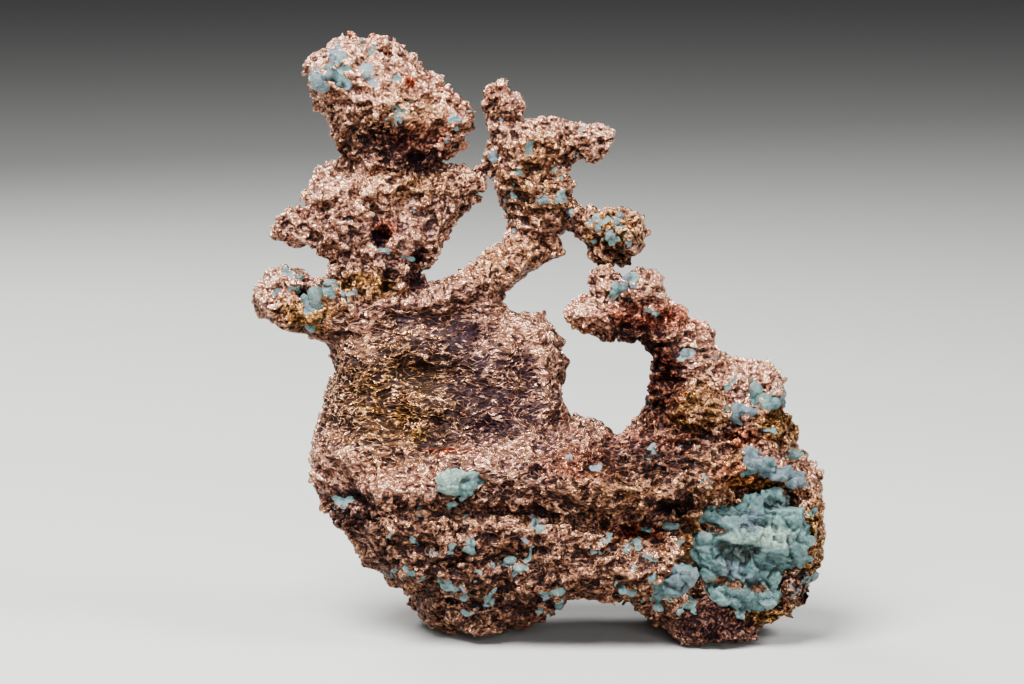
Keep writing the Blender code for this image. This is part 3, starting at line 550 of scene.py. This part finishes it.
# copper silicate and carbonate film in the hollows, where the ridges stand through it
hollowFilm = addNode(tree, "ShaderNodeMath", {"operation": "MULTIPLY_ADD", 1: -3.5},
                     {0: read["proud"], 2: read["film"]})
brokenFilm = addNode(tree, "ShaderNodeMath", {"operation": "MULTIPLY_ADD", 1: -0.3},
                     {0: fineRange.outputs[0], 2: hollowFilm.outputs[0]})
filmEdge = addNode(tree, "ShaderNodeMapRange", {"From Min": 0.58, "From Max": 0.7},
                   {"Value": brokenFilm.outputs[0]})
filmPatches = addNode(tree, "ShaderNodeTexNoise", {"Scale": 0.35, "Detail": 3.0},
                      {"Vector": inMm.outputs[0]})
filmTone = addNode(tree, "ShaderNodeValToRGB", None, {"Fac": filmPatches.outputs["Fac"]})
filmEnds, filmMiddle = (tuple((spot, hexColour(tone)) for spot, tone in copperLook[part])
                        for part in ("filmEnds", "filmMiddle"))
setRamp(filmTone, filmEnds, filmMiddle)
filmed = addNode(tree, "ShaderNodeMix", {"data_type": "RGBA"},
                 {0: filmEdge.outputs[0], 6: surface, 7: filmTone.outputs["Color"]})
tree.links.new(filmed.outputs[2], shader.inputs["Base Color"])
metal = addNode(tree, "ShaderNodeMapRange", {"To Min": 1.0, "To Max": 0.0}, {"Value": filmEdge.outputs[0]})
tree.links.new(metal.outputs[0], shader.inputs["Metallic"])
dull = addNode(tree, "ShaderNodeMapRange",
               {"From Min": 0.1, "From Max": 0.9, "To Min": 0.5, "To Max": 0.15},
               {"Value": wearAndPaintedLight.outputs[0]})
finish = addNode(tree, "ShaderNodeMath", {"operation": "MULTIPLY_ADD", 1: 0.35},
                 {0: filmEdge.outputs[0], 2: dull.outputs[0]})
tree.links.new(finish.outputs[0], shader.inputs["Roughness"])

# small crystal faces: each cell of the pattern leans its own way
drifting = addNode(tree, "ShaderNodeTexNoise", {"Scale": 0.7, "Detail": 1.0}, {"Vector": inMm.outputs[0]})
pushed = addNode(tree, "ShaderNodeVectorMath", {"operation": "MULTIPLY_ADD", 1: (1.2, 1.2, 1.2)},
                 {0: drifting.outputs["Color"], 2: inMm.outputs[0]})
drawn = addNode(tree, "ShaderNodeVectorMath", {"operation": "MULTIPLY", 1: (0.5, 1.0, 1.0)},
                {0: pushed.outputs[0]})
cells = addNode(tree, "ShaderNodeTexVoronoi", {"Scale": 1 / copperLook["facet"]},
                {"Vector": drawn.outputs[0]})
facets = leaningCells(tree, drawn, cells, 0.6)
ridges = addNode(tree, "ShaderNodeBump", {"Strength": 1.0, "Distance": 0.10 * mm},
                 {"Height": fine.outputs[0], "Normal": facets.outputs["Normal"]})
tree.links.new(ridges.outputs["Normal"], shader.inputs["Normal"])
whole.data.materials.append(material)

# the cast is parted at the forks into one piece for each limb, as (x, z) corners of upright cutters in mm
limbs = {
    "copper_right_branch": ("right_branch", [
        (1.8, 31.6), (6.0, 31.6), (6.0, 25.4), (17.8, 25.4), (17.8, 37.5), (1.8, 37.5)]),
    "copper_middle_branch": ("middle_branch", [
        (-12.6, 32.9), (-4.5, 33.6), (-1.5, 35.4), (3, 37), (12, 37.5), (12, 58), (-7, 58), (-6.4, 54),
        (-5.6, 52), (-5.3, 48), (-5.4, 45.5), (-8, 41), (-11, 37.2), (-12.6, 35.6)]),
    "copper_left_branch": ("left_branch", [
        (-32, 29), (-20.6, 29), (-19.4, 31), (-16, 32.2), (-12.6, 32.9), (-4, 33.4), (-4, 62), (-32, 62)]),
    "copper_plate": ("plate", [(-32, 21.8), (-18, 20.2), (4, 20.2), (4, 36), (-32, 36)]),
    "copper_base_left": ("base_mass", [(-32, -2), (1.5, -2), (1.5, 30), (-32, 30)]),
    "copper_base_shoulder": ("base_mass", [(1.5, 12.5), (32, 12.5), (32, 40), (1.5, 40)]),
}


def upright(corners):   # a closed prism along y with these corners
    count = len(corners)
    place = [((x - frameShift[0]) * mm, side * 40 * mm, z * mm) for side in (-1, 1) for x, z in corners]
    faces = [list(range(count))[::-1], list(range(count, 2 * count))]
    faces += [[i, (i + 1) % count, (i + 1) % count + count, i + count] for i in range(count)]
    mesh = bpy.data.meshes.new("cutter")
    mesh.from_pydata(place, [], faces)
    cutter = bpy.data.objects.new("cutter", mesh)
    scene.collection.objects.link(cutter)
    makeActive(cutter)
    bpy.ops.object.mode_set(mode="EDIT")
    bpy.ops.mesh.select_all(action="SELECT")
    bpy.ops.mesh.normals_make_consistent(inside=False)
    bpy.ops.object.mode_set(mode="OBJECT")
    return cutter


castPoints = KDTree(len(co))
for index, place in enumerate((points(whole) / mm).tolist()):
    castPoints.insert(place, index)
castPoints.balance()
layers = {}
for name in ("proud", "deep", "up", "drawnOut", *patinaAndPaintedLight):
    values = np.empty(len(whole.data.vertices), np.float32)
    whole.data.attributes[name].data.foreach_get("value", values)
    layers[name] = values


# new points on a cut take what the nearest point of the cast had
def mendRim(piece):
    up = np.empty(len(piece.data.vertices), np.float32)
    piece.data.attributes["up"].data.foreach_get("value", up)
    rim = np.nonzero(up == 0)[0]
    nearest = [castPoints.find(place)[1] for place in (points(piece)[rim] / mm).tolist()]
    for name, source in layers.items():
        values = np.empty(len(up), np.float32)
        piece.data.attributes[name].data.foreach_get("value", values)
        values[rim] = source[nearest]
        piece.data.attributes[name].data.foreach_set("value", values)


rest = whole
for name, (node, corners) in limbs.items():
    cutter = upright(corners)
    limb = bpy.data.objects.new(name, rest.data.copy())
    scene.collection.objects.link(limb)
    useModifier(limb, "BOOLEAN", operation="INTERSECT", object=cutter, solver="MANIFOLD")
    useModifier(rest, "BOOLEAN", operation="DIFFERENCE", object=cutter, solver="MANIFOLD")
    bpy.data.objects.remove(cutter)
    limbs[name] = (node, limb)
rest.name = "copper_base_right"
limbs["copper_base_right"] = ("base_mass", rest)
for name, (node, limb) in limbs.items():
    mendRim(limb)
    limb.data.calc_loop_triangles()
    print(name, len(limb.data.loop_triangles), "triangles")
    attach(limb, "root")
    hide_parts(node)

# copper silicate and carbonate with a little quartz: matt, lobed, faintly translucent
mineral = {
    "thick": ("pocket_crust", "lobe_crust"),   # the others lie thinly on the copper
    "thin": 0.6,          # mm that those stand off it at the most
    "voxel": 0.2,
    "fineVoxel": 0.7,     # times the voxel
    "depth": 0.6,         # a lump's half depth, as a share of its smaller half size
    "leastDepth": 0.25,   # mm more
    "setBack": 0.35,      # share of that depth that it is set back
    "relief": (0.5, 0.14),   # mm across and mm high
    "block": 1.5,         # mm across one blocky break
    "blockRise": 0.45,    # share of its size that it may stand out
    "splinter": 0.45,     # times the block's size, a finer break
    "splinterRise": 0.18,
    "step": 1.1,          # times the height of all breaks
    "thinStep": 0.5,      # times that again on the thin crusts
    "hole": 1.3,          # mm that dark spots are sunk
    "threadHole": 0.35,   # mm that copper spots are sunk
    "kept": 0.3,          # share of the faces kept
    "chip": 0.9,          # mm across one chip of the colour
}
tones = {"teal": "#3E6566", "mint": "#6A9190", "pale": "#A9BFB0", "grey": "#637380", "deep": "#04261B"}
# the crevice tint is painted shade in the crust's hollows, and the whitest one a painted highlight on its
# crests
crustLook = {"joint": "#5C7F78", "block": "#93A8A4", "vein": "#7C938E", "crevice": "#35605A",
             "crestHighlight": "#C9D9D0", "threadDeep": "#2C1A15", "thread": "#B98361"}
# each crust: the CAD node it stands for, mm that its copy grows, and its lumps, each as x, z, half width
# and half height in mm on the front, and its tone
crusts = {
    "pocket_crust": ("green_pocket", 0.35, [
        (17.0, 12.2, 1.4, 0.6, "teal"), (16.7, 9.6, 1.2, 1.3, "teal"), (18.6, 11.3, 1.0, 0.9, "mint"),
        (20.9, 11.6, 1.2, 1.1, "grey"), (20.1, 12.8, 0.6, 0.6, "teal"), (22.1, 13.9, 0.5, 1.2, "teal"),
        (24.2, 12.8, 1.0, 1.3, "mint"), (25.5, 12.2, 0.8, 1.2, "mint"), (24.4, 13.7, 1.4, 0.3, "deep"),
        (27.0, 12.6, 0.8, 0.6, "teal"), (19.6, 10.6, 1.0, 0.7, "pale"), (20.7, 10.2, 1.4, 0.7, "pale"),
        (22.5, 10.8, 0.9, 0.8, "pale"), (23.6, 10.3, 1.5, 0.9, "pale"), (25.8, 9.6, 0.9, 1.2, "mint"),
        (19.8, 8.5, 0.8, 0.6, "deep"), (18.2, 9.3, 0.35, 0.35, "deep"), (19.0, 7.3, 1.4, 1.1, "grey"),
        (20.6, 8.9, 0.7, 0.5, "deep"), (21.5, 7.2, 1.2, 1.0, "teal"), (23.8, 8.0, 1.2, 1.0, "teal"),
        (23.0, 5.8, 0.9, 1.3, "mint"), (21.1, 6.0, 1.1, 0.7, "grey"), (17.8, 4.7, 1.3, 1.0, "mint"),
        (19.8, 4.0, 1.4, 0.9, "teal"), (21.8, 4.3, 1.1, 0.7, "mint"), (16.9, 6.9, 0.8, 1.2, "teal"),
        (19.9, 2.6, 0.7, 0.4, "mint"), (17.9, 5.9, 0.8, 0.2, "copper"), (19.5, 5.6, 0.6, 0.3, "copper"),
        (21.9, 5.2, 0.7, 0.3, "copper"), (18.0, 10.9, 0.7, 0.15, "copper"),
        (16.5, 11.2, 0.9, 0.2, "copper")]),
    "lobe_crust": ("blue_lobe", 0.1, [
        (14.3, 6.6, 1.3, 1.2, "grey"), (14.8, 7.5, 0.7, 0.7, "mint"), (11.5, 6.0, 0.7, 0.4, "teal"),
        (13.0, 6.0, 0.7, 0.5, "grey"), (11.8, 4.2, 0.6, 1.0, "teal"), (14.3, 3.4, 0.25, 0.6, "mint"),
        (15.5, 2.9, 0.25, 0.5, "mint"), (13.8, 2.8, 0.2, 0.5, "mint"), (15.0, 3.8, 0.5, 0.2, "mint")]),
    "upper_crust": ("upper_green_seam", -0.35, [
        (22.7, 23.4, 1.4, 0.9, "mint"), (21.5, 24.4, 0.6, 1.1, "teal"), (19.3, 22.5, 1.5, 0.75, "grey"),
        (23.6, 24.3, 0.9, 0.6, "grey"), (21.0, 22.6, 0.9, 0.5, "grey"), (21.2, 25.6, 0.4, 0.5, "teal"),
        (22.4, 23.2, 0.5, 0.6, "pale"), (24.2, 23.5, 0.6, 0.5, "grey")]),
    "side_crust": ("side_green_seam", -0.35, [
        (20.9, 18.6, 0.9, 0.8, "grey"), (21.9, 17.5, 1.8, 0.8, "grey"), (24.0, 16.5, 1.5, 0.65, "grey"),
        (20.5, 16.9, 1.0, 0.5, "teal"), (25.5, 15.7, 1.1, 0.65, "grey"), (25.5, 18.3, 1.1, 0.5, "mint"),
        (22.9, 17.3, 0.8, 0.4, "mint")]),
    "shelf_crust": ("shelf_green_patch", 0.1, [
        (-9.2, 15.6, 1.2, 0.8, "pale"), (-8.0, 15.9, 1.1, 0.7, "pale"), (-6.8, 15.6, 0.9, 0.35, "mint"),
        (-7.4, 14.6, 0.5, 0.6, "mint"), (-8.7, 13.6, 0.7, 0.3, "mint"), (-10.0, 14.9, 0.5, 0.3, "teal")]),
    "knob_quartz": ("knob_crystal", -0.4, [
        (-22.7, 32.9, 0.7, 0.9, "grey"), (-23.2, 33.8, 0.5, 0.5, "teal"),
        (-22.0, 33.8, 0.5, 0.6, "deep"), (-22.3, 34.6, 0.3, 0.4, "teal")]),
    "knob_crust": ("knob_green_crust", -0.4, [
        (-25.1, 36.7, 0.6, 0.5, "teal"), (-24.3, 36.3, 0.5, 0.6, "mint"),
        (-24.2, 36.2, 0.2, 0.4, "deep"), (-23.8, 36.0, 0.4, 0.4, "mint"),
        (-26.9, 35.6, 0.3, 0.3, "grey")]),
    "head_crust": ("head_green_patch", -0.4, [
        (-21.8, 55.2, 0.8, 0.9, "grey"), (-19.6, 55.3, 0.8, 0.6, "teal"),
        (-18.8, 54.9, 0.5, 0.6, "grey"), (-17.1, 55.7, 0.6, 0.35, "grey"),
        (-18.9, 57.2, 0.9, 0.45, "grey"), (-17.5, 59.2, 0.4, 0.4, "teal"),
        (-20.6, 55.8, 0.5, 0.4, "grey")]),
    "berry_crust": ("berry_green_crust", -0.4, [
        (6.0, 40.9, 0.4, 0.5, "grey"), (7.8, 41.3, 0.4, 0.5, "grey"), (6.9, 39.9, 0.4, 0.6, "grey"),
        (5.4, 39.6, 0.5, 0.35, "teal"), (8.9, 40.1, 0.3, 0.4, "grey"), (8.3, 42.0, 0.5, 0.25, "grey")]),
    "arm_crust": ("arm_green_crust", -0.4, [
        (8.6, 35.6, 0.55, 0.5, "grey"), (9.0, 36.1, 0.35, 0.4, "grey"), (7.5, 34.4, 0.45, 0.35, "teal"),
        (8.4, 34.9, 0.4, 0.5, "teal"), (11.2, 32.5, 0.5, 0.3, "mint"), (9.0, 33.4, 0.2, 0.6, "grey")]),
    "small_crusts": (None, 0, [
        (13.0, 11.3, 1.0, 0.6, "teal"), (10.6, 11.1, 0.7, 0.4, "teal"), (-0.5, 11.5, 0.3, 0.7, "teal"),
        (0.2, 11.0, 0.5, 0.3, "mint"), (-6.9, 9.7, 0.4, 0.7, "teal"), (-6.6, 9.2, 0.5, 0.4, "mint"),
        (-2.9, 7.9, 0.6, 0.25, "mint"), (-1.9, 7.1, 0.5, 0.4, "mint"), (-8.8, 5.2, 0.5, 0.35, "grey"),
        (-7.3, 4.5, 0.5, 0.4, "teal"), (-5.1, 4.0, 0.3, 0.6, "teal"), (0.6, 4.6, 0.3, 0.4, "mint"),
        (2.1, 3.5, 0.25, 0.5, "teal"), (0.3, 2.7, 0.5, 0.25, "mint"), (-4.5, 48.1, 0.6, 0.7, "grey"),
        (-6.9, 52.4, 0.5, 0.3, "mint"), (-7.9, 51.5, 0.45, 0.3, "mint"),
        (-20.8, 35.3, 0.9, 0.35, "grey"), (-19.3, 34.2, 0.35, 0.7, "grey"),
        (14.6, 28.2, 0.5, 0.6, "grey"), (8.7, 5.2, 0.75, 0.75, "mint"), (9.3, 4.8, 0.4, 0.5, "grey"),
        (25.6, 4.9, 0.7, 0.4, "teal"), (27.5, 6.5, 0.3, 1.0, "grey"), (3.3, 42.6, 0.4, 0.6, "grey"),
        (0.5, 43.6, 0.6, 0.35, "grey"), (8.6, 8.8, 0.35, 0.3, "grey"), (11.4, 8.2, 0.3, 0.3, "grey"),
        (6.9, 9.0, 0.25, 0.4, "grey")]),
}
mineralTrees = [surfaceTree(node) for name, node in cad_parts.items() if name not in copper["nodes"]]


# how much of each tone a point of a crust takes from the lumps about it
def toneShares(co, lumps):
    x, z, y = onFront(co)
    shares = {tone: np.zeros(len(co)) for tone in (*tones, "copper")}
    for cx, cz, w, h, tone in lumps:
        near = np.exp(-((x - cx) / (0.9 * w + 0.1)) ** 2 - ((z - cz) / (0.9 * h + 0.1)) ** 2)
        shares[tone] += near * (4 if tone in ("deep", "copper") else 1)
    total = sum(shares.values()) + 0.05
    return {tone: share / total for tone, share in shares.items()}


# mm that each blocky break of the crust stands out: every one at its own height, leaning its own way
def breaksAt(co, size):
    raised = np.empty(len(co))
    shaken = co / size + swirl(co, 0.7) * 0.16
    for index, place in enumerate(map(Vector, shaken.tolist())):
        centre = noise.voronoi(place)[1][0]
        own = noise.cell_vector(centre)
        raised[index] = own.x * 0.5 + own.dot(place - centre)
    return raised * size


# brings back what stands further than reach mm off the copper
def drawnIn(co, reach):
    for index, place in enumerate(map(Vector, co.tolist())):
        spot, facing, _, away = castTree.find_nearest(place)
        if away > reach and (place - spot).dot(facing) > 0:
            co[index] = spot + (place - spot) * (reach / away)
    return co


def castCrust(name, node, grow, lumps):
    thin = name not in mineral["thick"]
    parts = []
    if node:
        seat = copyOf([node], name)
        useModifier(seat, "DISPLACE", strength=grow * mm, mid_level=0)
        parts.append(seat)
    for x, z, w, h, tone in lumps:
        hit = frontPoint(x, z, (castTree, *mineralTrees))
        if not hit:
            print(name, "misses at", x, z)
        elif tone != "copper":
            depth = mineral["depth"] * min(w, h) + mineral["leastDepth"]
            place = hit + Vector((0, mineral["setBack"] * depth, 0))
            if thin:   # it lies on the copper
                place = castTree.find_nearest(place)[0]
            parts.append(lump(place, (w, depth, h), 0.5 * noise.noise(place)))
    crust = joinAll(parts, name)
    useModifier(crust, "REMESH", mode="VOXEL", voxel_size=mineral["voxel"] * mm)
    useModifier(crust, "SMOOTH", factor=0.5, iterations=4)
    if thin:
        putPoints(crust, drawnIn(points(crust) / mm, mineral["thin"]) * mm)
    useModifier(crust, "REMESH", mode="VOXEL", voxel_size=mineral["voxel"] * mineral["fineVoxel"] * mm)
    relief(crust, *mineral["relief"])
    co = points(crust) / mm
    shares = toneShares(co, lumps)
    raised = breaksAt(co, mineral["block"]) * mineral["blockRise"]
    raised += breaksAt(co + 70, mineral["block"] * mineral["splinter"]) * mineral["splinterRise"]
    if thin:
        raised *= mineral["thinStep"]
    raised = smoothed(raised[:, None] * mineral["step"], edgesOf(crust), 1)[:, 0]
    sunk = mineral["hole"] * shares["deep"] + mineral["threadHole"] * shares["copper"]
    sunk = sunk - (raised - raised.mean())
    putPoints(crust, (co - normals(crust) * sunk[:, None]) * mm)
    useModifier(crust, "TRIANGULATE")
    useModifier(crust, "DECIMATE", ratio=mineral["kept"])
    co = points(crust) / mm
    away = co - smoothed(co, edgesOf(crust), 10)
    putLayer(crust, "proud", (away * normals(crust)).sum(1))
    for tone, share in toneShares(co, lumps).items():
        if tone != "teal":
            putLayer(crust, tone, share)
    return crust


crustMaterial = bpy.data.materials.new("lobed copper silicate crust")
crustMaterial.use_nodes = True
tree = crustMaterial.node_tree
shader = tree.nodes["Principled BSDF"]
read = {name: addNode(tree, "ShaderNodeAttribute", {"attribute_name": name}).outputs["Fac"]
        for name in ("proud", "mint", "pale", "grey", "deep", "copper")}
place = addNode(tree, "ShaderNodeTexCoord")
inMm = addNode(tree, "ShaderNodeVectorMath", {"operation": "SCALE", "Scale": 1000.0},
               {0: place.outputs["Object"]})
mottle = addNode(tree, "ShaderNodeTexNoise", {"Scale": 1.1, "Detail": 5.0, "Roughness": 0.65},
                 {"Vector": inMm.outputs[0]})
shift = addNode(tree, "ShaderNodeMapRange",
                {"From Min": 0.3, "From Max": 0.7, "To Min": -0.3, "To Max": 0.3},
                {"Value": mottle.outputs["Fac"]})
surface = None
for tone in ("mint", "pale", "grey", "deep"):
    amount = addNode(tree, "ShaderNodeMath", {"operation": "ADD", "use_clamp": True},
                     {0: read[tone], 1: shift.outputs[0]})
    edge = addNode(tree, "ShaderNodeMapRange", {"From Min": 0.2, "From Max": 1.0},
                   {"Value": amount.outputs[0]})
    toned = addNode(tree, "ShaderNodeMix",
                    {"data_type": "RGBA", 6: hexColour(tones["teal"]), 7: hexColour(tones[tone])},
                    {0: edge.outputs[0]})
    if surface:
        tree.links.new(surface, toned.inputs[6])
    surface = toned.outputs[2]

# blocky breaks a millimetre or so across, with dark joints between
blockPlace = addNode(tree, "ShaderNodeVectorMath", {"operation": "MULTIPLY_ADD", 1: (0.9, 0.9, 0.9)},
                     {0: mottle.outputs["Color"], 2: inMm.outputs[0]})
blocks = addNode(tree, "ShaderNodeTexVoronoi", {"Scale": 1 / mineral["chip"]},
                 {"Vector": blockPlace.outputs[0]})
joints = addNode(tree, "ShaderNodeTexVoronoi",
                 {"feature": "DISTANCE_TO_EDGE", "Scale": 1 / mineral["chip"]},
                 {"Vector": blockPlace.outputs[0]})
jointLine = addNode(tree, "ShaderNodeMapRange", {"From Min": 0.07, "From Max": 0.0, "To Max": 0.4},
                    {"Value": joints.outputs["Distance"]})
jointed = addNode(tree, "ShaderNodeMix",
                  {"data_type": "RGBA", "blend_type": "MULTIPLY", 7: hexColour(crustLook["joint"])},
                  {0: jointLine.outputs[0], 6: surface})
blockShade = addNode(tree, "ShaderNodeMapRange", {"To Min": 0.0, "To Max": 0.45},
                     {"Value": blocks.outputs["Color"]})
shaded = addNode(tree, "ShaderNodeMix",
                 {"data_type": "RGBA", "blend_type": "MULTIPLY", 7: hexColour(crustLook["block"])},
                 {0: blockShade.outputs[0], 6: jointed.outputs[2]})
veins = addNode(tree, "ShaderNodeTexNoise", {"Scale": 2.6, "Detail": 4.0, "Roughness": 0.7},
                {"Vector": inMm.outputs[0]})
veinTone = addNode(tree, "ShaderNodeValToRGB", None, {"Fac": veins.outputs["Fac"]})
setRamp(veinTone, ((0.32, hexColour(crustLook["vein"])), (0.62, white)))
veined = addNode(tree, "ShaderNodeMix", {"data_type": "RGBA", "blend_type": "MULTIPLY", 0: 1.0},
                 {6: shaded.outputs[2], 7: veinTone.outputs["Color"]})
# painted shade: the hollows between the lumps are darkened
crevice = addNode(tree, "ShaderNodeMapRange", {"From Min": 0.0, "From Max": -0.14, "To Max": 0.9},
                  {"Value": read["proud"]})
creviced = addNode(tree, "ShaderNodeMix",
                   {"data_type": "RGBA", "blend_type": "MULTIPLY", 7: hexColour(crustLook["crevice"])},
                   {0: crevice.outputs[0], 6: veined.outputs[2]})
# painted highlight: the crests of the lumps are whitened
paintedCrestLight = addNode(tree, "ShaderNodeMapRange", {"From Min": 0.04, "From Max": 0.25, "To Max": 0.1},
                  {"Value": read["proud"]})
pale = addNode(tree, "ShaderNodeMix", {"data_type": "RGBA", 7: hexColour(crustLook["crestHighlight"])},
               {0: paintedCrestLight.outputs[0], 6: creviced.outputs[2]})

# threads of copper that break through the crust
broken = addNode(tree, "ShaderNodeMapRange",
                 {"From Min": 0.35, "From Max": 0.65, "To Min": -0.45, "To Max": 0.35},
                 {"Value": veins.outputs["Fac"]})
threads = addNode(tree, "ShaderNodeMath", {"operation": "ADD"}, {0: read["copper"], 1: broken.outputs[0]})
threadEdge = addNode(tree, "ShaderNodeMapRange", {"From Min": 0.5, "From Max": 0.62},
                     {"Value": threads.outputs[0]})
threadGrain = addNode(tree, "ShaderNodeTexNoise", {"Scale": 3.2, "Detail": 2.0},
                      {"Vector": inMm.outputs[0]})
threadTone = addNode(tree, "ShaderNodeValToRGB", None, {"Fac": threadGrain.outputs["Fac"]})
setRamp(threadTone, ((0.42, hexColour(crustLook["threadDeep"])), (0.66, hexColour(crustLook["thread"]))))
threaded = addNode(tree, "ShaderNodeMix", {"data_type": "RGBA"},
                   {0: threadEdge.outputs[0], 6: pale.outputs[2], 7: threadTone.outputs["Color"]})
tree.links.new(threaded.outputs[2], shader.inputs["Base Color"])
tree.links.new(threadEdge.outputs[0], shader.inputs["Metallic"])
shader.inputs["Roughness"].default_value = 0.42
shader.inputs["Subsurface Weight"].default_value = 0.12
shader.inputs["Subsurface Scale"].default_value = 0.6 * mm
blocky = leaningCells(tree, blockPlace, blocks, 0.7)
grain = addNode(tree, "ShaderNodeTexNoise", {"Scale": 6.0, "Detail": 3.0, "Roughness": 0.6},
                {"Vector": inMm.outputs[0]})
grainy = addNode(tree, "ShaderNodeBump", {"Strength": 0.7, "Distance": 0.2 * mm},
                 {"Height": grain.outputs["Fac"], "Normal": blocky.outputs["Normal"]})
tree.links.new(grainy.outputs["Normal"], shader.inputs["Normal"])

for name, (node, grow, lumps) in crusts.items():
    crust = castCrust(name, node, grow, lumps)
    crust.data.materials.append(crustMaterial)
    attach(crust, "root")
    if node:
        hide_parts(node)
    print(name, len(crust.data.polygons), "faces")

bpy.ops.mesh.primitive_plane_add(size=24, location=(0, 0, 0))
floor = bpy.context.object
floor.name = "floor"
floorMaterial = bpy.data.materials.new("matt pale paper")
floorMaterial.use_nodes = True
paper = floorMaterial.node_tree.nodes["Principled BSDF"].inputs
paper["Base Color"].default_value = hexColour("#BEBEBB")
paper["Roughness"].default_value = 0.9
floor.data.materials.append(floorMaterial)

lights = {  # place in mm, size in mm, watts
    "key": ((-120, -190, 370), 200, 6.9),
    "right": ((260, -120, 300), 120, 1.6),
    "front": ((70, -420, 110), 200, 1.1),
    "back": ((-160, 260, 260), 160, 1.5),
}
for name, (place, size, power) in lights.items():
    bpy.ops.object.light_add(type="AREA", location=Vector(place) * mm)
    lamp = bpy.context.object
    lamp.name = name
    lamp.data.energy = power
    lamp.data.size = size * mm
    lamp.rotation_euler = (Vector((0, 0, 30 * mm)) - lamp.location).to_track_quat("-Z", "Y").to_euler()
world = bpy.data.worlds.new("studio")
scene.world = world
world.use_nodes = True
world.node_tree.nodes["Background"].inputs["Color"].default_value = (0.5, 0.52, 0.55, 1)
world.node_tree.nodes["Background"].inputs["Strength"].default_value = 0.08
print("floor and lights placed")
